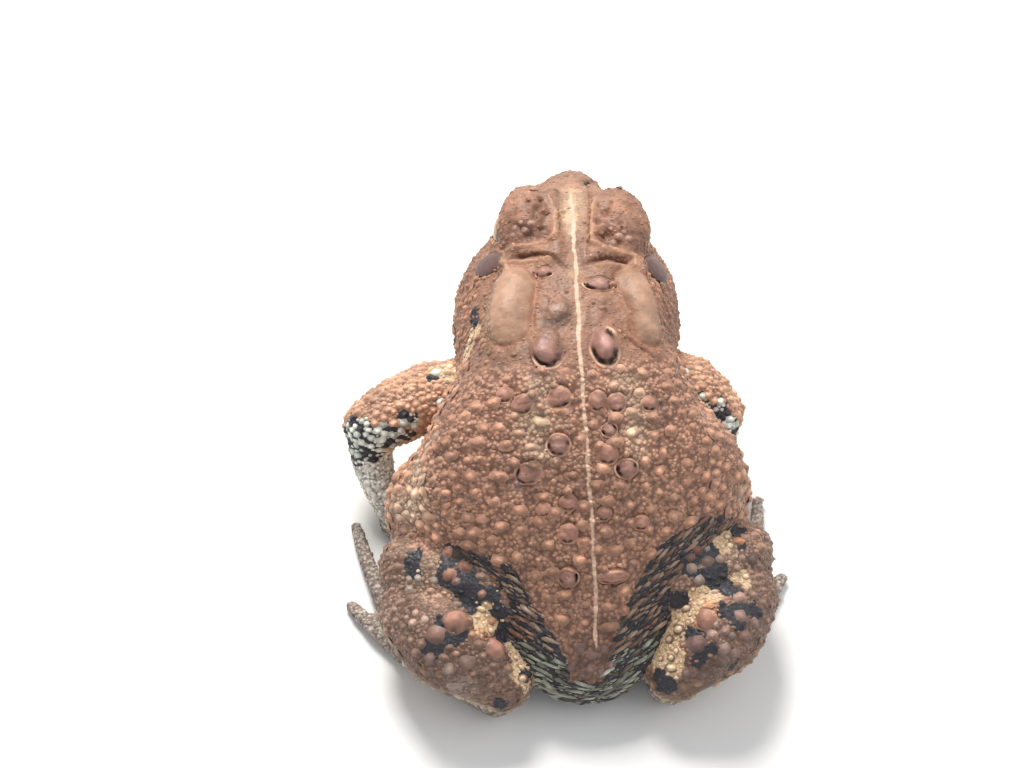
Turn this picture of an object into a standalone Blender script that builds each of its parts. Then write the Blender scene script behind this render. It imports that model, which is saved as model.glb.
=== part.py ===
# American toad, a still museum model at life size, sitting with its forequarters raised.
# It faces -Y, its own left is +X and +Z is up. Sizes are in millimetres, times MM for the scene.
import math
import random

import bmesh
import bpy
from mathutils import Matrix, Vector
from mathutils.bvhtree import BVHTree

MM = 0.001
GAP = 0.42
SHARPEST_COSINE = 0.4
FLOOR_CUT_DEPTH = 6.0
BIG = 90.0

HEAD_TURN_DEG = 5.6
HEAD_TURN_PIVOT_Y = 4.0
HEAD_TURN_SPAN = 8.0

NECK_PLANE_POINT = (0.0, 1.4, 24.0)
NECK_PLANE_SLOPE = 0.68
MOUTH_LINE = ((-34.0, 26.2), (-26.0, 25.3), (-20.0, 23.4), (-12.0, 21.0), (-5.5, 19.2), (6.0, 17.4))

EYE_CENTRE = (6.6, -13.9, 31.9)
EYE_RADIUS = 4.0
LID_CENTRE = (5.9, -13.9, 33.6)
LID_RADII = (4.3, 6.2, 3.8)
ORBIT_CENTRE = (6.2, -13.8, 31.0)
ORBIT_RADII = (4.4, 4.9, 4.3)
EYE_OPENING = (8.8, -15.4, 31.7)
EYE_OPENING_RADII = (4.4, 4.2, 2.55)
EYE_OPENING_TURN_DEG = 24.0
EAR_PLACE = (11.0, -8.4, 32.1)
EAR_RADII = (1.65, 2.3, 0.6)
NOSTRIL_PLACE = (2.1, -25.0, 29.6)
NOSTRIL_RADIUS = 0.65
PAROTOID_PATH = ((7.6, -4.2, 33.9), (8.4, 0.6, 34.0), (9.3, 5.0, 32.6))
PAROTOID_RADII = (2.8, 3.5, 2.7)

FLANK_CENTRE = (17.2, 17.0, 12.6)
FLANK_RADII = (8.5, 8.4, 9.0)
LOWER_SQUARENESS = 2.3
TRUNK_TRIANGLES = 2000
HEAD_TRIANGLES = 2000

# Each trunk section: y, top, height of the widest level, underside, half width, and how square
# its upper half is (2 is an ellipse, less is a ridge).
TRUNK_SECTIONS = (
    (-26.0, 29.2, 27.0, 25.2, 1.8, 2.0),
    (-25.5, 30.2, 26.4, 23.8, 3.3, 1.9),
    (-24.4, 31.3, 25.6, 22.0, 4.7, 1.7),
    (-22.4, 32.7, 24.9, 20.2, 6.6, 1.65),
    (-19.5, 34.4, 24.2, 18.4, 9.0, 1.7),
    (-16.0, 35.6, 23.6, 16.8, 11.4, 1.8),
    (-12.5, 36.2, 23.2, 15.2, 13.9, 1.9),
    (-9.0, 36.6, 22.8, 13.6, 15.2, 2.0),
    (-5.0, 37.0, 22.2, 11.6, 15.5, 2.1),
    (-1.0, 37.5, 22.0, 9.6, 14.9, 2.2),
    (2.5, 37.7, 21.5, 7.8, 14.7, 2.25),
    (6.5, 37.4, 20.0, 5.6, 16.9, 2.25),
    (10.5, 36.5, 18.0, 3.6, 20.0, 2.25),
    (15.0, 34.6, 15.8, 1.8, 22.8, 2.25),
    (19.5, 31.8, 14.2, 0.5, 23.7, 2.2),
    (24.0, 28.4, 12.8, -0.3, 21.8, 2.1),
    (28.5, 24.4, 11.6, -0.4, 18.0, 2.0),
    (33.0, 20.0, 10.2, -0.3, 14.4, 1.9),
    (37.0, 15.8, 8.8, 0.0, 11.2, 1.9),
    (40.0, 12.2, 7.4, 0.8, 8.4, 2.0),
    (42.2, 9.2, 6.2, 2.0, 5.4, 2.0),
    (43.2, 7.4, 5.6, 3.4, 2.6, 2.0),
)

# Limb joints for each side: path points, then the radius at each of them.
UPPER_ARM = {
    "left": (((11.0, 1.5, 17.0), (19.0, 1.2, 15.5), (26.3, 3.0, 12.2)), (4.4, 4.6, 3.9)),
    "right": (((-11.0, 1.5, 17.0), (-17.0, 2.0, 15.5), (-21.3, 4.2, 12.2)), (4.4, 4.6, 3.9)),
}
FOREARM = {
    "left": (((27.0, 3.8, 11.0), (26.2, 7.5, 6.8), (24.4, 11.3, 3.0)), (3.1, 2.5, 1.9)),
    "right": (((-21.8, 5.2, 11.0), (-21.3, 8.6, 7.0), (-19.8, 12.0, 3.0)), (3.1, 2.5, 1.9)),
}
PALM = {"left": (23.4, 12.8, 1.5), "right": (-18.8, 13.4, 1.5)}
PALM_RADII = (2.5, 2.4, 1.6)
FINGER_ANGLES = (-52.0, -18.0, 16.0, 52.0)
FINGER_LENGTHS = (5.6, 6.2, 7.4, 6.0)
FINGER_RADII = (0.85, 0.75, 0.62)
THIGH = {
    "left": (((7.0, 31.4, 8.6), (14.5, 28.6, 11.8), (22.0, 25.6, 11.4)), (5.6, 6.6, 5.3)),
    "right": (((-7.0, 31.4, 8.6), (-13.8, 28.8, 11.8), (-21.0, 26.4, 11.4)), (5.6, 6.6, 5.3)),
}
SHANK = {
    "left": (((22.6, 30.9, 9.6), (18.4, 36.0, 10.0), (12.0, 40.8, 7.0)), (5.2, 6.5, 3.9)),
    "right": (((-21.4, 31.6, 9.6), (-17.0, 36.9, 10.0), (-11.6, 41.2, 7.0)), (5.2, 6.4, 3.9)),
}
TARSUS = (((12.6, 40.9, 3.3), (18.4, 37.2, 2.5), (24.0, 32.4, 2.0)), (3.0, 2.1, 2.1))
TOES = (
    (((20.8, 32.4, 1.9), (18.4, 30.2, 1.3), (16.8, 28.4, 0.8)), (1.1, 0.85, 0.65)),
    (((22.0, 31.0, 1.9), (20.2, 27.4, 1.3), (19.0, 24.3, 0.8)), (1.2, 0.9, 0.68)),
    (((23.4, 30.0, 1.9), (23.2, 25.0, 1.4), (23.4, 20.2, 0.8)), (1.3, 1.0, 0.7)),
    (((24.6, 30.5, 1.9), (26.4, 25.0, 1.6), (28.2, 18.0, 1.2), (29.2, 12.6, 0.8)), (1.5, 1.15, 0.95, 0.72)),
    (((25.2, 31.5, 1.9), (28.4, 28.2, 1.4), (30.8, 24.9, 0.8)), (1.4, 1.05, 0.75)),
)
FOOT_SHIFT = {"left": 0.0, "right": 1.5}
WEB_CENTRE = (24.2, 29.4, 1.0)
WEB_RADII = (3.8, 3.6, 1.0)

# Cranial ridges as (x, y) on the head before it is turned: along each lid, then behind the eye
LID_RIDGE = ((2.7, -22.6), (3.2, -18.0), (2.9, -12.5), (2.4, -7.4))
BACK_RIDGE = ((2.4, -7.4), (5.2, -8.1), (8.3, -7.9), (9.2, -5.8))
RIDGE_RADII = (0.55, 0.85, 0.85, 0.65)

# Large warts of the back in pairs down the stripe: x, y, half width, half length, height
BACK_WARTS = (
    (4.2, 6.3, 1.75, 2.3, 1.1),
    (-3.9, 6.5, 1.85, 2.6, 1.15),
    (2.8, -6.1, 1.25, 0.95, 0.6),
    (-4.3, -3.5, 1.9, 1.05, 0.7),
    (2.0, 1.8, 1.7, 1.2, 0.7),
    (7.3, 12.3, 1.35, 1.35, 0.8),
    (2.5, 12.1, 1.35, 1.35, 0.8),
    (-2.5, 12.9, 1.15, 1.25, 0.75),
    (-5.0, 13.2, 1.25, 1.25, 0.75),
    (3.1, 17.5, 1.4, 1.4, 0.85),
    (-3.8, 16.4, 1.0, 0.95, 0.6),
    (-3.4, 18.9, 1.3, 1.3, 0.8),
    (7.2, 20.2, 1.4, 1.4, 0.8),
    (-5.9, 20.6, 1.3, 1.2, 0.8),
    (2.1, 23.9, 1.1, 1.1, 0.65),
    (2.3, 26.9, 1.1, 1.1, 0.65),
    (2.4, 31.3, 1.3, 1.3, 0.8),
    (-3.5, 31.8, 2.3, 0.9, 0.7),
)
SHANK_WARTS = ((17.8, 36.0, 1.5, 1.5, 0.9), (12.6, 39.2, 1.2, 1.2, 0.7), (-15.6, 37.2, 1.4, 1.4, 0.8))
LID_WARTS = ((4.9, -12.6), (6.2, -11.8), (7.3, -12.4), (5.3, -14.2))

# Small warts scattered over each piece: how many, the smallest and largest radius
SMALL_WARTS = {
    "torso": (44, 0.6, 1.0),
    "head": (16, 0.5, 0.8),
    "upper_arm": (9, 0.5, 0.75),
    "thigh": (9, 0.55, 0.85),
    "shank": (13, 0.55, 0.9),
}
WART_SEED = 27
WART_SPACING = 0.35
WART_CLEARANCE = 1.3
WART_HEIGHT_SHARE = 0.62
STRIPE_HALF_WIDTH = 1.2
GLAND_REACH = 4.2
TRUNK_WARTS_ABOVE = 8.0
TRUNK_WARTS_BEHIND = -9.5
LIMB_WARTS_ABOVE = 6.0

COLOURS = {
    "back_skin": (0.30, 0.17, 0.13),
    "leg_skin": (0.27, 0.17, 0.12),
    "arm_skin": (0.52, 0.33, 0.22),
    "eye": (0.35, 0.22, 0.06),
    "eardrum": (0.20, 0.10, 0.09),
}


def new_object(name, bm):
    bmesh.ops.recalc_face_normals(bm, faces=bm.faces)
    mesh = bpy.data.meshes.new(name)
    bm.to_mesh(mesh)
    bm.free()
    made = bpy.data.objects.new(name, mesh)
    bpy.context.scene.collection.objects.link(made)
    return made


def ring_mesh(name, rings):
    """A closed mesh over a row of rings of points."""
    bm = bmesh.new()
    rows = [[bm.verts.new(Vector(point) * MM) for point in ring] for ring in rings]
    for near, far in zip(rows, rows[1:]):
        for i in range(len(near)):
            j = (i + 1) % len(near)
            bm.faces.new((near[i], near[j], far[j], far[i]))
    bm.faces.new(rows[0][::-1])
    bm.faces.new(rows[-1])
    return new_object(name, bm)


def trunk_rings(sides=40):
    rings = []
    for y, top, middle, under, half, upper in TRUNK_SECTIONS:
        ring = []
        for i in range(sides):
            angle = 2 * math.pi * i / sides
            square = upper if math.sin(angle) > 0 else LOWER_SQUARENESS
            across = math.copysign(abs(math.cos(angle)) ** (2 / square), math.cos(angle))
            rise = math.copysign(abs(math.sin(angle)) ** (2 / square), math.sin(angle))
            reach = top - middle if rise > 0 else middle - under
            ring.append((half * across, y, middle + reach * rise))
        rings.append(ring)
    return rings


def smooth_path(points, radii, steps=4):
    """Points and radii carried along a Catmull-Rom curve."""
    knots = [Vector((*p, r)) for p, r in zip(points, radii)]
    knots = [2 * knots[0] - knots[1]] + knots + [2 * knots[-1] - knots[-2]]
    found = []
    for a, b, c, d in zip(knots, knots[1:], knots[2:], knots[3:]):
        for step in range(steps):
            t = step / steps
            found.append(0.5 * (2 * b + (c - a) * t + (2 * a - 5 * b + 4 * c - d) * t ** 2
                                + (3 * b - a - 3 * c + d) * t ** 3))
    found.append(knots[-2])
    return [(Vector(k[:3]), k[3]) for k in found]


def tube(name, points, radii, sides=12, steps=4):
    """A tapered tube with round ends."""
    path = smooth_path(points, radii, steps)
    starts = (path[0][0] - path[1][0]).normalized()
    ends = (path[-1][0] - path[-2][0]).normalized()
    cap = [(math.cos(a), math.sin(a)) for a in (math.radians(d) for d in (12, 40, 68))]
    head = [(path[0][0] + starts * path[0][1] * c, path[0][1] * s) for c, s in cap]
    tail = [(path[-1][0] + ends * path[-1][1] * c, path[-1][1] * s) for c, s in reversed(cap)]
    whole = head + path + tail
    rings = []
    for i, (centre, radius) in enumerate(whole):
        before = whole[max(i - 1, 0)][0]
        after = whole[min(i + 1, len(whole) - 1)][0]
        along = (after - before).normalized()
        side = along.cross(Vector((0, 0, 1))).normalized()
        rise = side.cross(along)
        ring = []
        for k in range(sides):
            angle = 2 * math.pi * k / sides
            ring.append(centre + (side * math.cos(angle) + rise * math.sin(angle)) * radius)
        rings.append(ring)
    return ring_mesh(name, rings)


def ellipsoid(name, centre, radii, columns=20, rows=12, turn=None):
    bm = bmesh.new()
    bmesh.ops.create_uvsphere(bm, u_segments=columns, v_segments=rows, radius=1.0)
    place = Matrix.Translation(Vector(centre)) @ (turn or Matrix()) @ Matrix.Diagonal((*radii, 1.0))
    bmesh.ops.transform(bm, matrix=Matrix.Scale(MM, 4) @ place, verts=bm.verts)
    return new_object(name, bm)


def prism(name, outline):
    """An outline in the YZ plane carried across X."""
    return ring_mesh(name, [[(x, y, z) for y, z in outline] for x in (-BIG, BIG)])


def turned(x, y):
    """Where a point goes as the head swings to the toad's right, easing in over the neck."""
    share = (HEAD_TURN_PIVOT_Y + HEAD_TURN_SPAN - y) / (2 * HEAD_TURN_SPAN)
    share = min(max(share, 0.0), 1.0)
    share = share * share * (3 - 2 * share)
    angle = -math.radians(HEAD_TURN_DEG) * share
    back = y - HEAD_TURN_PIVOT_Y
    across = x * math.cos(angle) - back * math.sin(angle)
    along = x * math.sin(angle) + back * math.cos(angle)
    return across, along + HEAD_TURN_PIVOT_Y


def turn_head(made):
    for vertex in made.data.vertices:
        x, y = turned(vertex.co.x / MM, vertex.co.y / MM)
        vertex.co = Vector((x * MM, y * MM, vertex.co.z))
    return made


def bake(made):
    """Applies an object's modifiers."""
    graph = bpy.context.evaluated_depsgraph_get()
    mesh = bpy.data.meshes.new_from_object(made.evaluated_get(graph))
    made.modifiers.clear()
    made.data = mesh
    return made


def discard(made):
    bpy.data.objects.remove(made, do_unlink=True)


def copy_of(made, name):
    twin = made.copy()
    twin.data = made.data.copy()
    twin.name = name
    bpy.context.scene.collection.objects.link(twin)
    return twin


def joined(name, pieces):
    bm = bmesh.new()
    for piece in pieces:
        bm.from_mesh(piece.data)
        discard(piece)
    return new_object(name, bm)


def blended(made, voxel, rounds):
    remesh = made.modifiers.new("blend", "REMESH")
    remesh.mode = "VOXEL"
    remesh.voxel_size = voxel * MM
    soft = made.modifiers.new("soften", "SMOOTH")
    soft.factor = 0.5
    soft.iterations = rounds
    return bake(made)


def thinned(made, triangles):
    """Brings a mesh down to about so many triangles."""
    square = made.modifiers.new("triangles", "TRIANGULATE")
    square.min_vertices = 4
    bake(made)
    fewer = made.modifiers.new("thin", "DECIMATE")
    fewer.ratio = min(1.0, triangles / len(made.data.polygons))
    return bake(made)


def carve(made, tool, solver="EXACT"):
    """Cuts a tool out of a piece and uses the tool up."""
    step = made.modifiers.new("cut", "BOOLEAN")
    step.operation = "DIFFERENCE"
    step.solver = solver
    step.object = tool
    bake(made)
    discard(tool)
    return largest(made)


def largest(made):
    """Keeps only the biggest closed surface of a mesh."""
    bm = bmesh.new()
    bm.from_mesh(made.data)
    left = set(bm.verts)
    groups = []
    while left:
        group = set()
        queue = [left.pop()]
        while queue:
            vertex = queue.pop()
            group.add(vertex)
            for edge in vertex.link_edges:
                other = edge.other_vert(vertex)
                if other in left:
                    left.discard(other)
                    queue.append(other)
        groups.append(group)
    groups.sort(key=len)
    spare = [vertex for group in groups[:-1] for vertex in group]
    bmesh.ops.delete(bm, geom=spare, context="VERTS")
    bm.to_mesh(made.data)
    bm.free()
    return made


def swollen(made, by=GAP):
    """A copy with each face moved out by the gap, to cut a neighbour clear of it."""
    grown = copy_of(made, made.name + "_grown")
    mesh = grown.data
    normals = [vertex.normal.copy() for vertex in mesh.vertices]
    flattest = [1.0] * len(normals)
    for face in mesh.polygons:
        for i in face.vertices:
            flattest[i] = min(flattest[i], normals[i].dot(face.normal))
    for vertex, normal, cosine in zip(mesh.vertices, normals, flattest):
        vertex.co += normal * by * MM / max(cosine, SHARPEST_COSINE)
    return grown


def cut_by(made, *neighbours):
    """Cuts a piece clear of its neighbours; the exact solver empties a few of these grazing cuts."""
    for neighbour in neighbours:
        carve(made, swollen(neighbour), solver="MANIFOLD")
    return made


def floor_cut(made):
    """Gives a piece that reaches the ground its flat at the one floor level."""
    outline = ((-BIG, 0.0), (BIG, 0.0), (BIG, -FLOOR_CUT_DEPTH), (-BIG, -FLOOR_CUT_DEPTH))
    return carve(made, prism("floor_tool", outline))


def surface_of(*pieces):
    """A search tree over the pieces' skins."""
    points = []
    faces = []
    for piece in pieces:
        start = len(points)
        points += [vertex.co.copy() for vertex in piece.data.vertices]
        faces += [[start + i for i in face.vertices] for face in piece.data.polygons]
    return BVHTree.FromPolygons(points, faces)


def skin_at(surface, x, y):
    """The point of a skin straight above (x, y), in millimetres, and its normal."""
    hit, normal, _, _ = surface.ray_cast(Vector((x * MM, y * MM, BIG * MM)), Vector((0, 0, -1)))
    return hit / MM, normal


def dome(centre, normal, half_width, half_length, height, sides):
    """A low wart with its root sunk in the skin."""
    levels = [(-0.45 * half_width, 0.9), (0.0, 1.0), (0.62 * height, 0.8)]
    if sides < 8:
        levels = [(-0.45 * half_width, 0.95), (0.25 * height, 0.92)]
    length_way = (Vector((0, 1, 0)) - normal * normal.y).normalized()
    turn = Matrix((length_way.cross(normal), length_way, normal)).transposed()
    bm = bmesh.new()
    rows = []
    for level, share in levels:
        row = []
        for i in range(sides):
            angle = 2 * math.pi * i / sides
            across = half_width * share * math.cos(angle)
            along = half_length * share * math.sin(angle)
            row.append(bm.verts.new((centre + turn @ Vector((across, along, level))) * MM))
        rows.append(row)
    peak = bm.verts.new((centre + turn @ Vector((0, 0, height))) * MM)
    for near, far in zip(rows, rows[1:]):
        for i in range(sides):
            j = (i + 1) % sides
            bm.faces.new((near[i], near[j], far[j], far[i]))
    for i in range(sides):
        bm.faces.new((rows[-1][i], rows[-1][(i + 1) % sides], peak))
    bm.faces.new(rows[0][::-1])
    return new_object("wart", bm)


def scatter(made, count, small, large, neighbours, taken, rng, allowed):
    """Low warts at random on a piece, apart from each other and clear of its neighbours."""
    found = []
    near = surface_of(*neighbours)
    mesh = made.data
    areas = [face.area for face in mesh.polygons]
    for face in rng.choices(mesh.polygons, weights=areas, k=count * 30):
        if len(found) == count:
            break
        corners = [mesh.vertices[i].co for i in face.vertices[:3]]
        shares = sorted((rng.random(), rng.random()))
        spot = corners[0] * shares[0] + corners[1] * (shares[1] - shares[0]) + corners[2] * (1 - shares[1])
        radius = rng.uniform(small, large)
        if not allowed(spot / MM, face.normal):
            continue
        if near.find_nearest(spot)[3] < (radius + WART_CLEARANCE) * MM:
            continue
        if any((spot / MM - other).length < reach + radius + WART_SPACING for other, reach in taken):
            continue
        taken.append((spot / MM, radius))
        found.append(dome(spot / MM, face.normal, radius, radius, radius * WART_HEIGHT_SHARE, 6))
    return found


def unite(made, pieces):
    """Joins closed pieces to a body in one step."""
    group = bpy.data.collections.new("union_group")
    bpy.context.scene.collection.children.link(group)
    for piece in pieces:
        bpy.context.scene.collection.objects.unlink(piece)
        group.objects.link(piece)
    step = made.modifiers.new("union", "BOOLEAN")
    step.operation = "UNION"
    step.solver = "EXACT"
    step.operand_type = "COLLECTION"
    step.collection = group
    bake(made)
    for piece in pieces:
        discard(piece)
    bpy.data.collections.remove(group)
    return largest(made)


def mirrored(points, side):
    """Points of the left foot, or their mirror image drawn in by the right foot's shift."""
    return tuple((x if side == "left" else FOOT_SHIFT[side] - x, y, z) for x, y, z in points)


def neck_outline(ahead):
    """The half of the YZ plane ahead of the neck plane, or the half behind it."""
    _, y, z = NECK_PLANE_POINT
    shift = -GAP / 2 if ahead else GAP / 2
    low = (y - shift - z * NECK_PLANE_SLOPE - 5 * NECK_PLANE_SLOPE, -5.0)
    high = (y - shift + (BIG - z) * NECK_PLANE_SLOPE, BIG)
    far = -BIG if ahead else BIG
    return (low, high, (far, BIG), (far, -5.0))


def mouth_outline(above):
    shift = -GAP / 2 if above else GAP / 2
    line = [(y, z + shift) for y, z in MOUTH_LINE]
    edge = BIG if above else -BIG
    return tuple(line) + ((MOUTH_LINE[-1][0] + 20.0, edge), (-BIG, edge), (-BIG, line[0][1]))


bpy.context.scene.unit_settings.system = "METRIC"
for old in list(bpy.data.objects):
    bpy.data.objects.remove(old, do_unlink=True)

# Trunk and head in one skin, with the eyelids, eye sockets and parotoid glands blended in
forms = [ring_mesh("trunk_form", trunk_rings())]
for sign in (1, -1):
    for label, centre, radii in (("lid", LID_CENTRE, LID_RADII), ("orbit", ORBIT_CENTRE, ORBIT_RADII)):
        forms.append(ellipsoid(label, (sign * centre[0], centre[1], centre[2]), radii))
    gland = [(sign * x, y, z) for x, y, z in PAROTOID_PATH]
    forms.append(tube("parotoid", gland, PAROTOID_RADII, sides=16))
forms.append(ellipsoid("full_flank", FLANK_CENTRE, FLANK_RADII))
trunk = turn_head(blended(joined("trunk_whole", forms), 0.7, 3))

# Torso, the trunk behind the neck plane
torso = thinned(copy_of(trunk, "torso"), TRUNK_TRIANGLES)
carve(torso, prism("neck_tool", neck_outline(True)))
floor_cut(torso)

# Head and lower jaw, the trunk ahead of the neck plane parted along the mouth line
head = thinned(copy_of(trunk, "head"), HEAD_TRIANGLES)
discard(trunk)
skull = surface_of(head)
ridges = []
for sign in (1, -1):
    for path in (LID_RIDGE, BACK_RIDGE):
        points = []
        for x, y in path:
            turned_x, turned_y = turned(sign * x, y)
            hit, _ = skin_at(skull, turned_x, turned_y)
            points.append(hit)
        ridges.append(tube("ridge", points, RIDGE_RADII, sides=6, steps=2))
unite(head, ridges)
carve(head, prism("neck_tool", neck_outline(False)))
jaw = copy_of(head, "jaw")
carve(jaw, turn_head(prism("mouth_tool", mouth_outline(True))))
carve(head, turn_head(prism("mouth_tool", mouth_outline(False))))

# Eyes in their sockets, eardrums let into the cheeks, and the nostrils
for side, sign in (("left", 1), ("right", -1)):
    centre = (sign * EYE_CENTRE[0], EYE_CENTRE[1], EYE_CENTRE[2])
    eye = turn_head(ellipsoid("eye_" + side, centre, (EYE_RADIUS,) * 3, 14, 10))
    carve(head, swollen(eye))
    opening_turn = Matrix.Rotation(math.radians(-sign * EYE_OPENING_TURN_DEG), 4, "Z")
    opening = (sign * EYE_OPENING[0], EYE_OPENING[1], EYE_OPENING[2])
    carve(head, turn_head(ellipsoid("opening_tool", opening, EYE_OPENING_RADII, 18, 12, opening_turn)))
    surface = BVHTree.FromObject(head, bpy.context.evaluated_depsgraph_get())
    _, ear_y = turned(sign * EAR_PLACE[0], EAR_PLACE[1])
    start = Vector((sign * BIG, ear_y, EAR_PLACE[2])) * MM
    hit, normal, _, _ = surface.ray_cast(start, Vector((-sign, 0, 0)))
    turn = normal.to_track_quat("Z", "Y").to_matrix().to_4x4()
    ear = ellipsoid("tympanum_" + side, hit / MM, EAR_RADII, 12, 6, turn)
    carve(head, swollen(ear))
    nostril = (sign * NOSTRIL_PLACE[0], NOSTRIL_PLACE[1], NOSTRIL_PLACE[2])
    carve(head, turn_head(ellipsoid("nostril_tool", nostril, (NOSTRIL_RADIUS,) * 3, 10, 6)))

# Arms: upper arm, forearm and a four-fingered hand turned inwards
for side, sign in (("left", 1), ("right", -1)):
    upper = thinned(tube("upper_arm_" + side, *UPPER_ARM[side], sides=16), 320)
    cut_by(upper, torso, head, jaw)
    forearm = thinned(tube("forearm_" + side, *FOREARM[side], sides=14), 260)
    cut_by(forearm, upper, torso)
    palm = Vector(PALM[side])
    pieces = [ellipsoid("palm", palm, PALM_RADII)]
    for angle, length in zip(FINGER_ANGLES, FINGER_LENGTHS):
        way = Vector((-sign * math.cos(math.radians(angle)), math.sin(math.radians(angle)), 0))
        points = (palm, palm + way * length * 0.62, palm + way * length * 1.2)
        points = [Vector((p.x, p.y, z)) for p, z in zip(points, (1.3, 1.25, 0.55))]
        pieces.append(tube("finger", points, FINGER_RADII, sides=10))
    hand = thinned(blended(joined("hand_" + side, pieces), 0.32, 2), 460)
    cut_by(hand, forearm, torso)
    floor_cut(hand)

# Legs: thigh, shank and a long foot of tarsus and five toes, the shank folded on the foot
for side in ("left", "right"):
    thigh = thinned(tube("thigh_" + side, *THIGH[side], sides=18), 420)
    cut_by(thigh, torso)
    shank = thinned(tube("shank_" + side, *SHANK[side], sides=18), 420)
    cut_by(shank, torso, thigh)
    pieces = [tube("tarsus", mirrored(TARSUS[0], side), TARSUS[1], sides=14)]
    for points, radii in TOES:
        pieces.append(tube("toe", mirrored(points, side), radii, sides=10))
    pieces.append(ellipsoid("web", mirrored((WEB_CENTRE,), side)[0], WEB_RADII))
    foot = thinned(blended(joined("foot_" + side, pieces), 0.36, 2), 640)
    cut_by(foot, shank, thigh, torso)
    floor_cut(foot)

# Warts: the large ones where they are on the animal, then a scatter of small ones
rng = random.Random(WART_SEED)
glands = [(x * sign, y) for x, y, _ in PAROTOID_PATH for sign in (1, -1)]


def is_warty_trunk(spot, normal):
    clear_of_stripe = abs(spot.x) > STRIPE_HALF_WIDTH
    clear_of_glands = all(math.hypot(spot.x - x, spot.y - y) > GLAND_REACH for x, y in glands)
    on_back = spot.z > TRUNK_WARTS_ABOVE and normal.z > -0.1 and spot.y > TRUNK_WARTS_BEHIND
    return on_back and clear_of_stripe and clear_of_glands


def is_warty_limb(spot, normal):
    return spot.z > LIMB_WARTS_ABOVE and normal.z > 0.05


pieces_by_name = {made.name: made for made in bpy.data.objects}
for name, made in sorted(pieces_by_name.items()):
    kind = name.rsplit("_", 1)[0] if name.endswith(("left", "right")) else name
    if kind not in SMALL_WARTS:
        continue
    others = [other for key, other in pieces_by_name.items() if key != name]
    surface = surface_of(made)
    large = SHANK_WARTS if kind == "shank" else BACK_WARTS if kind in ("head", "torso") else ()
    domes = []
    taken = []
    for x, y, half_width, half_length, height in large:
        hit, normal, _, _ = surface.ray_cast(Vector((x * MM, y * MM, BIG * MM)), Vector((0, 0, -1)))
        if hit is None or surface_of(*others).find_nearest(hit)[3] < (half_length + 0.4) * MM:
            continue
        domes.append(dome(hit / MM, normal, half_width, half_length, height, 9))
        taken.append((hit / MM, max(half_width, half_length)))
    if kind == "head":
        for sign in (1, -1):
            for x, y in LID_WARTS:
                hit, normal = skin_at(surface, *turned(sign * x, y))
                domes.append(dome(hit, normal, 0.6, 0.6, 0.4, 6))
                taken.append((hit, 0.6))
    count, small, big = SMALL_WARTS[kind]
    allowed = is_warty_trunk if kind in ("head", "torso") else is_warty_limb
    domes += scatter(made, count, small, big, others, taken, rng, allowed)
    unite(made, domes)

# The origin goes on the floor under the middle of the whole model
corners = [vertex.co for made in bpy.data.objects for vertex in made.data.vertices]
middle = [(min(c[i] for c in corners) + max(c[i] for c in corners)) / 2 for i in (0, 1)]
for made in bpy.data.objects:
    made.data.transform(Matrix.Translation((-middle[0], -middle[1], 0.0)))

# One material per kind of surface, each piece with its own copy
for made in list(bpy.data.objects):
    if made.name.startswith("eye"):
        kind = "eye"
    elif made.name.startswith("tympanum"):
        kind = "eardrum"
    elif made.name.startswith(("thigh", "shank", "foot")):
        kind = "leg_skin"
    elif made.name.startswith(("upper", "forearm", "hand")):
        kind = "arm_skin"
    else:
        kind = "back_skin"
    material = bpy.data.materials.new(made.name + "_" + kind)
    material.use_nodes = True
    material.node_tree.nodes["Principled BSDF"].inputs["Base Color"].default_value = (*COLOURS[kind], 1)
    made.data.materials.clear()
    made.data.materials.append(material)
    for face in made.data.polygons:
        face.use_smooth = True
        face.material_index = 0
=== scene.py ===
import math
from collections import defaultdict

import bmesh
import bpy
import numpy as np
from mathutils import Matrix, Vector, noise
from mathutils.bvhtree import BVHTree


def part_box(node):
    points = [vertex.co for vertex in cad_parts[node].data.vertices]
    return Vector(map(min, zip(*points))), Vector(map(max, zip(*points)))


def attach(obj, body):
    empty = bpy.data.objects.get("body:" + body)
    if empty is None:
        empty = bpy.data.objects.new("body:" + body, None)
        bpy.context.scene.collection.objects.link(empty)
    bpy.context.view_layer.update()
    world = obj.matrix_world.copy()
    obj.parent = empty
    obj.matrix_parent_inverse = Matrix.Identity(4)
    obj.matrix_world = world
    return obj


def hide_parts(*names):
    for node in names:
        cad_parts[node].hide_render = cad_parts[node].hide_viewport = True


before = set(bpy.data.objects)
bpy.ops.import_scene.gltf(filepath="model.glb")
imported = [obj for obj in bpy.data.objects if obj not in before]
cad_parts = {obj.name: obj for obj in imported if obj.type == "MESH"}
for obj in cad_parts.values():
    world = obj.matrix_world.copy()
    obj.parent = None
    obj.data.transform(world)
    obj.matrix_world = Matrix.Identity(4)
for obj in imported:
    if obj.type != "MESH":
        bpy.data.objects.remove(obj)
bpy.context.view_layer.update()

# Skin. A toad's hide is one moist, leathery sheet from snout to toes, here in tinted resin.
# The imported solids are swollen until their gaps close, remeshed as one closed body, smoothed and
# drawn back in. Places are in millimetres, x to the toad's left, y to its tail and z up.
MM = 0.001
FORWARD = np.array((0.0, 8.6, 0.0))
SWELL = 0.27
VOXEL = 0.465
# How far thin parts may be smoothed; the rest may be smoothed in full
STEADY_NODES = {"hand": 0.12, "foot": 0.14, "forearm": 0.6, "eye": 0.25, "tympanum": 0.3}
RELAX_ROUNDS = 26
FINE_RELAX_ROUNDS = 5
WELD = 0.002
SHARPEST_SWELL = 1.5


def kind_of(name):
    """A node's name without its side."""
    return name.replace("_left", "").replace("_right", "")


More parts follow.
